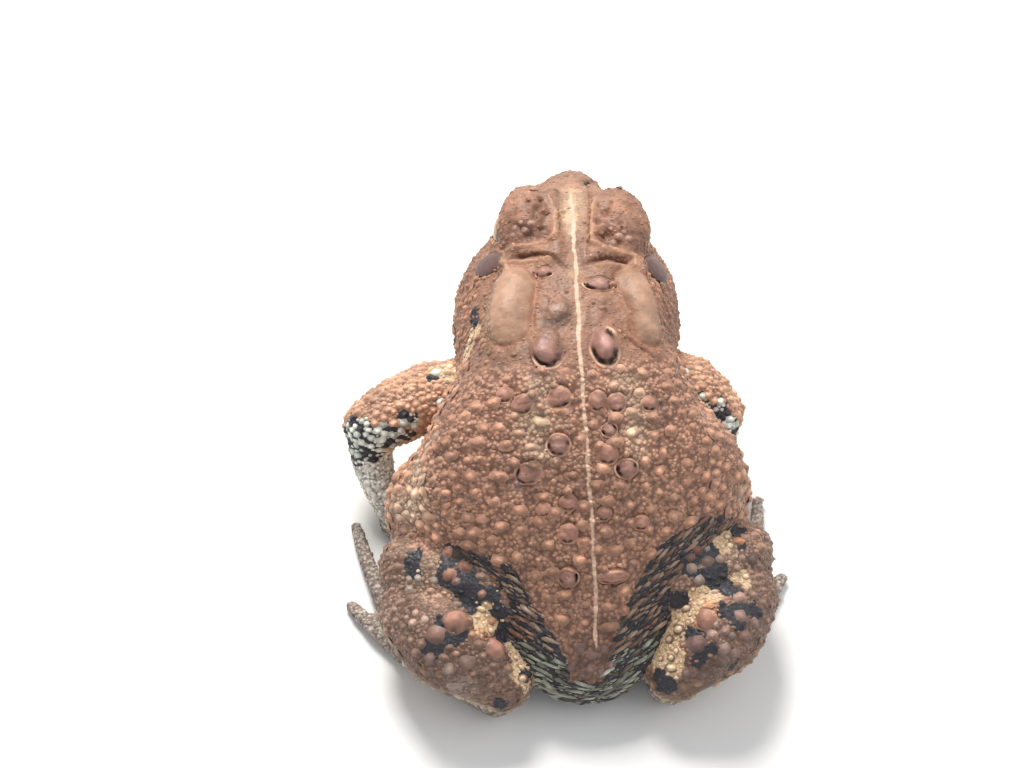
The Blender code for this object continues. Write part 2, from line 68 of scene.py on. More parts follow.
def own_points(mesh):
    """A mesh's points in millimetres from the middle of the toad's shoulders."""
    found = np.empty(len(mesh.vertices) * 3, np.float32)
    mesh.vertices.foreach_get("co", found)
    return found.reshape(-1, 3).astype(float) / MM + FORWARD


def own_normals(mesh):
    """Which way a mesh faces at each of its points."""
    found = np.empty(len(mesh.vertices) * 3, np.float32)
    mesh.vertices.foreach_get("normal", found)
    return found.reshape(-1, 3).astype(float)


def place_points(mesh, points):
    """Moves a mesh's points to places in millimetres."""
    mesh.vertices.foreach_set("co", ((points - FORWARD) * MM).astype(np.float32).ravel())
    mesh.update()


def relax(values, edges, weight, steps):
    """Evens values out over the edges of a mesh, with no shrinking where the steps cancel."""
    count = np.maximum(np.bincount(edges.ravel(), minlength=len(values)), 1)[:, None]
    for step in steps:
        total = np.empty_like(values)
        for axis in range(values.shape[1]):
            column = values[:, axis]
            total[:, axis] = np.bincount(edges[:, 0], column[edges[:, 1]], len(values))
            total[:, axis] += np.bincount(edges[:, 1], column[edges[:, 0]], len(values))
        values = values + step * weight[:, None] * (total / count - values)
    return values


cast = bmesh.new()
face_owner = []
for node_name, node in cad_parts.items():
    lump = bmesh.new()
    lump.from_mesh(node.data)
    bmesh.ops.remove_doubles(lump, verts=lump.verts, dist=WELD * MM)
    bmesh.ops.recalc_face_normals(lump, faces=lump.faces)
    for vertex in lump.verts:
        vertex.co += vertex.normal * SWELL * MM * min(vertex.calc_shell_factor(), SHARPEST_SWELL)
    swollen = bpy.data.meshes.new(node_name + "_swollen")
    lump.to_mesh(swollen)
    lump.free()
    cast.from_mesh(swollen)
    face_owner += [node_name] * len(swollen.polygons)
    bpy.data.meshes.remove(swollen)
cast.faces.ensure_lookup_table()
owner_tree = BVHTree.FromBMesh(cast)
skin_mesh = bpy.data.meshes.new("skin")
cast.to_mesh(skin_mesh)
cast.free()
skin = bpy.data.objects.new("skin", skin_mesh)
bpy.context.scene.collection.objects.link(skin)
remesh = skin.modifiers.new("one_sheet", "REMESH")
remesh.mode = "VOXEL"
remesh.voxel_size = VOXEL * MM
skin.data = bpy.data.meshes.new_from_object(skin.evaluated_get(bpy.context.evaluated_depsgraph_get()))
skin.modifiers.clear()
skin_mesh = skin.data


def joined_points(mesh):
    """Pairs of points that an edge joins."""
    found = np.empty(len(mesh.edges) * 2, np.int32)
    mesh.edges.foreach_get("vertices", found)
    return found.reshape(-1, 2)


def nodes_of(mesh):
    """The name of the solid each point of the sheet lies on, and how far it may be smoothed."""
    names = [face_owner[owner_tree.find_nearest(v.co)[2]] for v in mesh.vertices]
    share = np.array([STEADY_NODES.get(kind_of(name), 1.0) for name in names])
    return names, relax(share[:, None], edges, np.ones(len(share)), [0.5] * 6)[:, 0]


def wants_detail(place):
    """Whether a place is on the crown of the head or along the pale line of the back."""
    x, y, z = np.array(place) / MM + FORWARD
    crown = y < 6.5 and z > 29.5 and abs(x + 0.4) < 11.5
    spine = y < 38.5 and z > 12.0 and abs(x + 0.9) < 1.3
    return crown or spine


edges = joined_points(skin_mesh)
owners, steady = nodes_of(skin_mesh)
points = relax(own_points(skin_mesh), edges, steady, [0.5, -0.51] * RELAX_ROUNDS)
place_points(skin_mesh, points)
finer = bmesh.new()
finer.from_mesh(skin_mesh)
detailed = {vertex for vertex in finer.verts if wants_detail(vertex.co)}
cut = [edge for edge in finer.edges if edge.verts[0] in detailed and edge.verts[1] in detailed]
bmesh.ops.subdivide_edges(finer, edges=cut, cuts=1, use_grid_fill=True)
finer.to_mesh(skin_mesh)
finer.free()
edges = joined_points(skin_mesh)
owners, steady = nodes_of(skin_mesh)
kinds = np.array([kind_of(name) for name in owners])
points = relax(own_points(skin_mesh), edges, steady, [0.5, -0.51] * FINE_RELAX_ROUNDS)
place_points(skin_mesh, points)
points = points - own_normals(skin_mesh) * SWELL
points = relax(points, edges, steady, [0.5, -0.5] * 3)
points[:, 2] = np.maximum(points[:, 2], 0.0)
place_points(skin_mesh, points)

# Folds and ridges of the hide. The bony crests round the eyelids, the parotoid glands behind
# them, the mouth, the nostrils and the crease behind the head are pressed into the same sheet.
CREST_PATHS = (
    ((0.9, -17.9, 35.7), (0.3, -15.6, 35.7), (0.6, -11.6, 36.8), (1.8, -10.4, 36.2), (4.6, -10.3, 36.0),
     (7.0, -10.7, 34.4), (7.9, -9.3, 34.3), (7.5, -7.6, 35.1)),
    ((-5.6, -17.2, 35.4), (-4.7, -13.3, 35.9), (-4.2, -10.0, 37.0), (-5.8, -9.0, 36.3), (-7.8, -8.5, 36.2),
     (-9.9, -8.2, 34.9), (-9.9, -6.6, 34.9)),
    ((1.8, -7.6, 36.6), (4.0, -7.9, 36.2), (6.6, -8.2, 35.6)),
    ((-4.2, -5.9, 36.6), (-6.6, -6.5, 36.2), (-9.0, -6.3, 35.4)),
)
GROOVE_PATHS = (
    ((6.6, -9.2, 35.2), (3.8, -8.9, 36.2), (1.9, -8.5, 36.4), (-0.2, -6.3, 36.9)),
    ((-3.3, -6.8, 36.8), (-5.6, -7.6, 36.4), (-8.6, -7.3, 35.6)),
    ((-5.6, 3.6, 36.8), (-7.4, 5.0, 36.1), (-9.4, 6.4, 35.2), (-11.6, 7.4, 32.6)),
)
CREST_HEIGHT = 0.5
CREST_WIDTH = 0.42
GROOVE_DEPTH = 0.5
GROOVE_WIDTH = 0.26
# Each gland's front and rear ends on its midline, then its half width
GLANDS = (((7.1, -4.4, 36.0), (8.2, 1.3, 35.6), 3.2), ((-8.9, -3.8, 36.0), (-10.2, 3.2, 35.2), 2.35))
GLAND_HEIGHT = 0.42
GLAND_SLOPE = 2.4
GLAND_EDGE_DEPTH = 0.26
GLAND_EDGE_WIDTH = 0.36
# Pits of the eyelids: a place and how wide the pit is
LID_PITS = (
    (2.6, -15.6, 37.5, 0.8), (5.2, -12.9, 36.7, 0.75), (4.1, -11.8, 36.7, 0.8), (3.1, -14.2, 37.4, 0.55),
    (2.0, -16.9, 37.0, 0.6), (3.6, -16.9, 37.2, 0.55), (2.3, -12.6, 37.0, 0.5), (6.6, -14.2, 36.4, 0.45),
    (-6.4, -14.5, 37.0, 0.7), (-6.2, -11.2, 36.6, 0.75), (-8.0, -10.0, 36.4, 0.65), (-5.4, -13.2, 36.7, 0.6),
    (-4.9, -10.9, 36.9, 0.5), (-7.4, -16.2, 36.8, 0.5), (-8.4, -12.6, 36.6, 0.5), (-5.9, -16.0, 36.8, 0.45),
)
NOSTRILS = (((-0.9, -22.9, 32.3), (-0.1, -23.9, 31.2)), ((-5.2, -22.7, 32.2), (-6.0, -23.5, 31.1)))
NOSTRIL_WIDTH = 0.38
NOSTRIL_DEPTH = 0.55
# Places where the sheet is drawn out or in: the place, how far it reaches, the way it moves
NUDGES = (
    ((-3.2, -24.0, 30.0), 3.6, (-0.5, 0.0, 0.0)),
    ((-14.8, -2.4, 28.0), 5.0, (0.9, 0.0, 0.0)),
    ((2.0, -22.4, 32.0), 2.4, (-0.7, 0.5, -0.4)),
    ((-7.4, -22.0, 31.8), 2.4, (0.4, 0.5, -0.4)),
    ((9.6, -13.2, 35.0), 2.4, (0.8, 0.2, 0.1)),
    ((-11.6, -12.4, 35.0), 2.4, (-0.5, 0.1, 0.1)),
    ((-18.6, 10.2, 27.4), 4.4, (1.8, 0.5, -0.8)),
)
LID_PIT_DEPTH = 0.6
LID_PIT_WIDTH = 0.75
LID_RIM_LIFT = 0.3
SOFT_LUMP_HEIGHT = 0.13
WRINKLE_DEPTH = 0.3
CROWN_LUMP_DEPTH = 0.14
EAR_RIM_LIFT = 0.3
EAR_SINK = 0.55
EYE_BED = 3.75
MOUTH_LINE = ((-34.0, 26.2), (-26.0, 25.3), (-20.0, 23.4), (-12.0, 21.0), (-5.5, 19.2), (-2.0, 18.6))
MOUTH_DEPTH = 0.42
MOUTH_WIDTH = 0.3
UPPER_LIP_HEIGHT = 0.16
LOWER_LIP_HEIGHT = 0.1
LIP_WIDTH = 0.5
HEAD_TURN_DEG = 5.6
HEAD_PIVOT_Y = 4.0


def path_distance(points, path):
    """How far points are from a path of straight stretches."""
    best = np.full(len(points), 1e9)
    for start, end in zip(path, path[1:]):
        start, along = np.array(start), np.array(end) - np.array(start)
        share = np.clip((points - start) @ along / (along @ along), 0, 1)
        best = np.minimum(best, np.linalg.norm(points - start - share[:, None] * along, axis=1))
    return best


def step_up(values, low, high):
    """0 below low, 1 above high and a smooth rise between them."""
    share = np.clip((values - low) / (high - low), 0, 1)
    return share * share * (3 - 2 * share)


def hump(distance, width):
    """1 at no distance, falling away evenly over a width."""
    return np.exp(-((distance / width) ** 2))


def straightened(points):
    """Points of the head as they were before it turned to the toad's right."""
    angle = math.radians(HEAD_TURN_DEG)
    back = points[:, 1] - HEAD_PIVOT_Y
    across = points[:, 0] * math.cos(angle) - back * math.sin(angle)
    along = points[:, 0] * math.sin(angle) + back * math.cos(angle)
    return np.stack([across, along + HEAD_PIVOT_Y, points[:, 2]], axis=1)


def on_hide(place):
    """The point of the hide nearest to a place."""
    return points[np.argmin(np.sum((points - place[:3]) ** 2, axis=1))]


def laid_on_hide(path, pieces=4):
    """A path in short stretches whose ends are lowered straight down on to the hide."""
    laid = [np.array(path[0])]
    for start, end in zip(path, path[1:]):
        laid += [np.array(start) + (np.array(end) - start) * step / pieces for step in range(1, pieces + 1)]
    for place in laid:
        aside = np.sum((points[:, :2] - place[:2]) ** 2, axis=1) + np.where(normals[:, 2] > 0.1, 0.0, 9.0)
        place[2] = np.mean(points[np.argsort(aside)[:6], 2])
    return laid


def gland_distance(points):
    """How far points lie outside the outline of the nearer parotoid gland."""
    return np.min([path_distance(points, (a, b)) - reach for a, b, reach in GLANDS], axis=0)


for centre, reach, push in NUDGES:
    share = hump(np.linalg.norm(points - centre, axis=1), reach)
    points = points + share[:, None] * np.array(push)
place_points(skin_mesh, points)
normals = own_normals(skin_mesh)
eye_places = {}
for side in ("left", "right"):
    low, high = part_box("eye_" + side)
    eye_places[side] = np.array((low + high) / 2) / MM + FORWARD
everywhere = np.ones(len(points))
eye_share = relax((kinds == "eye").astype(float)[:, None], edges, everywhere, [0.5] * 4)[:, 0]
ear_share = relax((kinds == "tympanum").astype(float)[:, None], edges, everywhere, [0.5] * 4)[:, 0]
lift = np.zeros(len(points))
lift += LID_RIM_LIFT * hump(eye_share - 0.2, 0.16) + EAR_RIM_LIFT * hump(ear_share - 0.14, 0.12)
lift -= EAR_SINK * step_up(ear_share, 0.25, 0.6)
crest = np.min([path_distance(points, laid_on_hide(path)) for path in CREST_PATHS], axis=0)
groove = np.min([path_distance(points, laid_on_hide(path)) for path in GROOVE_PATHS], axis=0)
lift += CREST_HEIGHT * hump(crest, CREST_WIDTH)
lift -= GROOVE_DEPTH * hump(groove, GROOVE_WIDTH)
gland = gland_distance(points)
upward = step_up(normals[:, 2], 0.0, 0.4)
gland_rise = GLAND_HEIGHT * (1 - step_up(gland, -GLAND_SLOPE, 0.1))
lift += upward * (gland_rise - GLAND_EDGE_DEPTH * hump(gland - 0.1, GLAND_EDGE_WIDTH))
lid_pits = [(on_hide(pit), pit[3]) for pit in LID_PITS]
for place, reach in lid_pits:
    lift -= LID_PIT_DEPTH * reach * hump(np.linalg.norm(points - place, axis=1), reach * LID_PIT_WIDTH)
nostril = np.min([path_distance(points, path) for path in NOSTRILS], axis=0)
lift -= NOSTRIL_DEPTH * hump(nostril, NOSTRIL_WIDTH)
straight = straightened(points)
mouth_y = np.array([y for y, _ in MOUTH_LINE])
mouth_z = np.array([z for _, z in MOUTH_LINE])
mouth = straight[:, 2] - np.interp(straight[:, 1], mouth_y, mouth_z)
on_face = np.isin(kinds, ("head", "jaw")) & (straight[:, 1] < mouth_y[-1])
mouth = np.where(on_face, mouth, 9.0)
lips = UPPER_LIP_HEIGHT * hump(mouth - 0.75, LIP_WIDTH) - MOUTH_DEPTH * hump(mouth, MOUTH_WIDTH)
lift += lips + LOWER_LIP_HEIGHT * hump(mouth + 0.8, LIP_WIDTH)
soft_lumps = np.array([noise.noise(Vector(p) * 0.45) + 0.5 * noise.noise(Vector(p) * 1.1) for p in points])
lift += SOFT_LUMP_HEIGHT * soft_lumps * steady
wrinkles = np.array([noise.noise(Vector((p[0] * 0.42, p[1] * 1.05, p[2] * 1.05))) for p in points])
lift += WRINKLE_DEPTH * wrinkles * ((kinds == "torso") & (points[:, 1] > 3.0))
crown_lumps = np.array([noise.noise(Vector(p) * 1.5) for p in points])
lift += CROWN_LUMP_DEPTH * crown_lumps * ((kinds == "head") & (normals[:, 2] > 0.2) & (gland > 0.0))
points = points + normals * lift[:, None]
points[:, 2] = np.maximum(points[:, 2], 0.0)
for side, place in eye_places.items():
    off = points - place
    far = np.linalg.norm(off, axis=1)
    bedded = np.where(far < 7.0, step_up(eye_share, 0.3, 0.6), 0.0)
    points = points + off * (bedded * (np.minimum(far, EYE_BED) / far - 1))[:, None]
place_points(skin_mesh, points)
normals = own_normals(skin_mesh)
bare_hide = BVHTree.FromObject(skin, bpy.context.evaluated_depsgraph_get())

# Markings. A pale line runs down the spine, cream and black blotches lie on the limbs, and the
# rump below the back is black. Each marking is a field over the hide that the finish cuts off.
STRIPE_LINE = ((-24.0, -3.1), (-18.2, -2.5), (-0.6, -1.1), (8.2, -0.5), (16.6, -0.6), (24.1, -0.8),
               (30.1, -1.1), (37.8, -1.1), (40.1, -1.4))
STRIPE_HALF = 0.17
# Where the brown of the back ends on each side of the rump: place along the body, then across it
RUMP_LEFT = ((24.3, 19.0), (26.5, 14.9), (28.4, 10.6), (30.2, 9.0), (33.0, 7.4), (35.2, 5.7), (38.0, 3.7),
             (39.8, 2.8), (42.5, 1.6))
RUMP_RIGHT = ((22.9, 22.1), (24.8, 16.4), (28.8, 9.6), (31.1, 7.9), (35.7, 4.7), (39.3, 3.3), (42.5, 1.6))
RUMP_UNDER_Z = 8.8
RUMP_UNDER_Y = 36.0
SPOT_SPREAD = 0.4
# Blotches of the limbs, back and shoulders are laid out of round spots: a place and a radius
BLACK_SPOTS = (
    (21.9, 25.2, 16.6, 0.82), (22.4, 26.1, 16.3, 0.76), (22.2, 27.1, 16.1, 0.73),
    (17.2, 25.5, 18.0, 0.76), (16.1, 26.1, 18.5, 0.82), (18.1, 26.3, 17.8, 0.73),
    (15.0, 26.9, 18.4, 0.82), (14.3, 27.4, 18.6, 0.73), (18.0, 27.3, 17.9, 0.69),
    (18.8, 28.1, 17.3, 0.44), (18.9, 29.0, 17.0, 0.44), (15.4, 29.2, 17.9, 1.02),
    (15.3, 30.3, 17.5, 1.05), (14.6, 30.9, 17.3, 0.82), (16.6, 30.4, 17.1, 0.62),
    (17.9, 29.9, 16.9, 0.47), (15.4, 32.1, 16.2, 1.2), (14.4, 31.8, 16.7, 0.65), (16.3, 32.1, 15.8, 0.65),
    (15.5, 33.1, 15.8, 0.65), (19.4, 35.0, 16.4, 0.55), (19.1, 36.0, 16.2, 0.8), (18.9, 37.0, 15.9, 0.84),
    (18.0, 37.1, 16.0, 0.76), (16.9, 36.9, 16.0, 0.58), (20.1, 37.6, 15.3, 1.0), (21.1, 37.8, 14.6, 0.91),
    (20.6, 38.4, 14.5, 0.73), (11.0, 35.3, 12.6, 0.95), (10.3, 34.8, 12.6, 0.73),
    (11.9, 36.4, 13.4, 0.65), (10.3, 35.6, 12.0, 0.6), (11.8, 43.4, 8.2, 0.73), (8.5, 40.4, 9.6, 0.73),
    (12.4, 31.4, 16.6, 0.9), (11.4, 33.0, 15.0, 0.91), (-21.7, 24.9, 16.7, 0.8),
    (-21.7, 26.8, 16.8, 0.52), (-15.7, 26.8, 18.4, 0.9), (-16.6, 27.0, 18.2, 0.92),
    (-17.2, 28.4, 18.1, 0.92), (-17.7, 29.3, 17.7, 0.8), (-18.4, 30.3, 17.0, 0.92),
    (-17.4, 30.8, 17.1, 0.9), (-16.0, 28.6, 18.2, 0.68), (-13.8, 28.4, 18.2, 0.7),
    (-13.4, 29.4, 17.9, 0.72), (-14.0, 30.3, 17.7, 0.88), (-16.2, 31.3, 16.9, 0.68),
    (-18.3, 31.2, 16.3, 0.72), (-14.9, 28.5, 18.1, 0.48), (-17.9, 31.9, 16.1, 0.72),
    (-18.8, 32.3, 15.9, 0.92), (-19.8, 33.0, 16.0, 0.84), (-20.6, 33.0, 15.9, 0.44),
    (-18.6, 36.2, 16.3, 0.84), (-19.3, 36.7, 16.1, 0.84), (-20.2, 35.6, 16.2, 0.56),
    (-21.0, 36.0, 15.8, 0.64), (-22.6, 35.8, 14.9, 0.84), (-20.0, 37.7, 15.6, 0.84),
    (-13.6, 38.1, 14.5, 0.6), (-14.3, 38.6, 14.6, 0.76), (-15.0, 38.7, 15.0, 0.36),
    (-15.1, 40.8, 13.5, 0.92), (-14.4, 41.1, 12.9, 0.76), (-16.2, 40.4, 14.2, 0.6),
    (-18.8, 42.2, 9.7, 0.52), (-19.1, 41.8, 11.8, 0.52), (-9.7, 41.7, 9.3, 0.9), (-10.6, 42.9, 8.9, 1.12),
    (-12.6, 33.3, 14.8, 1.0), (17.5, 0.1, 20.4, 0.5), (21.6, 4.0, 17.2, 0.6), (24.0, 4.4, 15.9, 0.4),
    (23.1, 4.8, 15.6, 0.6), (28.3, 2.7, 14.9, 0.6), (27.2, 3.9, 15.0, 0.7), (26.3, 4.4, 15.1, 0.7),
    (28.2, 4.2, 13.7, 0.8), (26.9, 5.0, 14.1, 0.8), (25.6, 5.3, 14.1, 0.7), (28.9, 3.1, 13.6, 0.7),
    (20.4, 4.0, 17.5, 0.4), (19.4, 4.1, 17.5, 0.4), (16.4, 3.6, 19.0, 0.5), (24.2, 5.6, 13.8, 1.2),
    (21.8, 5.0, 14.8, 1.0), (26.0, 5.8, 12.4, 1.5), (28.8, 5.0, 11.8, 1.6), (28.8, 5.6, 9.8, 1.4),
    (-17.0, 1.6, 20.4, 0.4), (-17.3, 3.7, 19.3, 0.6), (-17.8, 4.3, 18.7, 0.7), (-19.0, 4.0, 18.6, 0.5),
    (-19.3, 4.7, 17.7, 0.6), (-20.1, 5.1, 17.0, 0.7), (-20.4, 5.7, 15.9, 0.8), (-21.4, 5.1, 16.4, 0.7),
    (-21.7, 4.2, 17.1, 0.5), (-22.4, 4.7, 16.2, 0.5), (-21.1, 6.0, 15.2, 0.7), (-22.1, 5.4, 15.7, 0.6),
    (-23.0, 6.1, 14.3, 0.8), (-23.3, 6.2, 14.1, 0.6), (-22.3, 6.6, 13.9, 0.8), (-24.1, 5.9, 14.0, 0.3),
    (-22.0, 7.2, 12.8, 1.8), (-24.2, 6.4, 12.0, 1.2), (11.9, -3.1, 30.2, 0.7), (11.6, -2.2, 30.2, 0.6),
)
CREAM_SPOTS = (
    (13.7, 33.2, 15.1, 1.27), (14.2, 34.6, 15.3, 1.09), (14.9, 34.2, 15.7, 0.55),
    (10.0, 36.8, 11.8, 0.95), (9.2, 38.7, 10.1, 1.05), (10.0, 40.1, 10.7, 0.87), (8.4, 38.7, 9.2, 0.84),
    (12.4, 33.8, 14.5, 0.73), (11.9, 34.2, 14.0, 0.65), (-19.0, 25.5, 17.5, 1.04),
    (-20.1, 24.7, 16.7, 0.76), (-17.8, 25.6, 18.0, 0.9), (-19.1, 27.1, 17.7, 1.0),
    (-18.8, 26.2, 17.8, 0.8), (-14.9, 33.3, 15.2, 0.96), (-16.1, 32.7, 15.8, 0.9),
    (-13.6, 35.0, 14.6, 0.9), (-12.6, 35.4, 13.5, 0.9), (-12.1, 36.4, 13.2, 0.68),
    (-11.6, 37.0, 12.2, 0.92), (-10.9, 38.0, 11.4, 1.16), (-10.3, 39.0, 10.6, 1.24),
    (-11.4, 41.0, 10.9, 1.24), (-12.1, 40.3, 11.9, 1.0), (-10.9, 42.1, 10.3, 0.8),
    (-9.5, 38.8, 9.3, 0.72), (-9.2, 40.0, 9.2, 0.6), (-20.9, 30.7, 15.0, 0.84), (-21.8, 30.7, 14.9, 0.84),
    (-22.1, 31.9, 15.3, 0.64), (12.0, -0.6, 29.8, 1.4), (12.4, 1.0, 27.8, 1.4), (16.6, -0.8, 20.4, 1.5),
    (15.0, 0.6, 21.0, 1.3), (14.6, 34.2, 15.6, 1.15), (14.4, 35.5, 15.5, 1.0), (12.8, 34.8, 14.2, 1.1),
    (9.9, 37.3, 10.8, 1.2), (9.1, 38.5, 9.9, 1.3), (9.6, 39.8, 10.5, 1.1), (8.4, 41.1, 8.9, 0.9),
    (-18.2, 32.6, 15.9, 0.9), (-16.9, 33.3, 15.9, 1.1), (-15.1, 34.8, 15.7, 1.05),
    (-13.8, 35.9, 14.8, 1.05), (-12.7, 36.9, 13.8, 1.15), (-11.2, 39.0, 11.6, 1.3),
    (-10.6, 40.5, 10.6, 1.3), (-11.6, 40.7, 11.3, 1.1),
)


def shot(points, spots):
    """How far points lie inside the nearest of some round spots, in millimetres."""
    field = np.full(len(points), -9.0)
    for spot in spots:
        field = np.maximum(field, spot[3] + SPOT_SPREAD - np.linalg.norm(points - on_hide(spot), axis=1))
    return field


def rump_field(points):
    """How far points lie outside the brown of the back, on the rump."""
    x, y = points[:, 0], points[:, 1]
    left = x - np.interp(y, [p[0] for p in RUMP_LEFT], [p[1] for p in RUMP_LEFT])
    right = -x - np.interp(y, [p[0] for p in RUMP_RIGHT], [p[1] for p in RUMP_RIGHT])
    behind = np.where(x > 0, y - RUMP_LEFT[0][0], y - RUMP_RIGHT[0][0])
    under = RUMP_UNDER_Z - points[:, 2]
    outside = np.maximum(np.maximum(left, right), np.where(y > RUMP_UNDER_Y, under, -9.0))
    return np.minimum(outside, behind)


def marking(spots):
    """The field of some spots, evened out a little."""
    return relax(shot(points, spots)[:, None], edges, everywhere, [0.5] * 2)[:, 0]


stripe_y = [y for y, _ in STRIPE_LINE]
stripe_x = [x for _, x in STRIPE_LINE]
waver = 0.08 * np.sin(points[:, 1] * 0.8) + 0.03 * np.sin(points[:, 1] * 2.3 + 1.0)
stripe = np.abs(points[:, 0] + waver - np.interp(points[:, 1], stripe_y, stripe_x)) - STRIPE_HALF
stripe -= 0.07 * hump(points[:, 1] + 0.5, 5.0) + 0.03 * np.sin(points[:, 1] * 1.7)
stripe = np.where((normals[:, 2] > 0.0) & np.isin(kinds, ("head", "torso")), stripe, 9.0)
stripe += 2.0 * step_up(points[:, 1], 38.0, 41.5) + 2.0 * step_up(-points[:, 1], 19.0, 22.0)
black = marking(BLACK_SPOTS)
cream = marking(CREAM_SPOTS)
rump = np.where(kinds == "torso", rump_field(points), -9.0)
rump = relax(rump[:, None], edges, everywhere, [0.5] * 3)[:, 0]

# Ground tones of the hide, brown on the back and paler below, blended over the same sheet.
TONES = {
    "torso": (168, 123, 101), "head": (134, 96, 78), "jaw": (190, 162, 136), "upper_arm": (192, 148, 122),
    "forearm": (222, 222, 214), "hand": (186, 182, 174), "thigh": (124, 101, 88),
    "shank": (112, 88, 77), "foot": (160, 154, 146), "eye": (140, 100, 78), "tympanum": (130, 98, 84),
}
FLANK_TONE = (176, 132, 108)
BELLY_TONE = (214, 198, 170)
GLAND_TONE = (161, 126, 104)
LID_TONE = (130, 86, 68)
FACE_TONE = (148, 106, 84)
CREST_TONE = (180, 136, 109)
# Painted shade for the grooves behind the crests and for the pits of the lids
GROOVE_SHADE_TONE = (84, 46, 31)
BLACK_TONE = (46, 44, 49)
CREAM_TONE = (206, 182, 150)
STRIPE_TONE = (208, 174, 148)
WARM_CREAM_TONE = (198, 160, 118)
BLACK_FLECK_TONE = (84, 80, 80)
CREVICE_SHADE_TONE = (84, 52, 40)
BELLY_SPOT_TONE = (112, 102, 92)
# Painted shade for the pits round the large warts, the nostrils and the mouth line
PIT_SHADE_TONE = (40, 22, 16)
LID_RIM_TONE = (206, 162, 128)
RUST_TONE = (136, 84, 60)
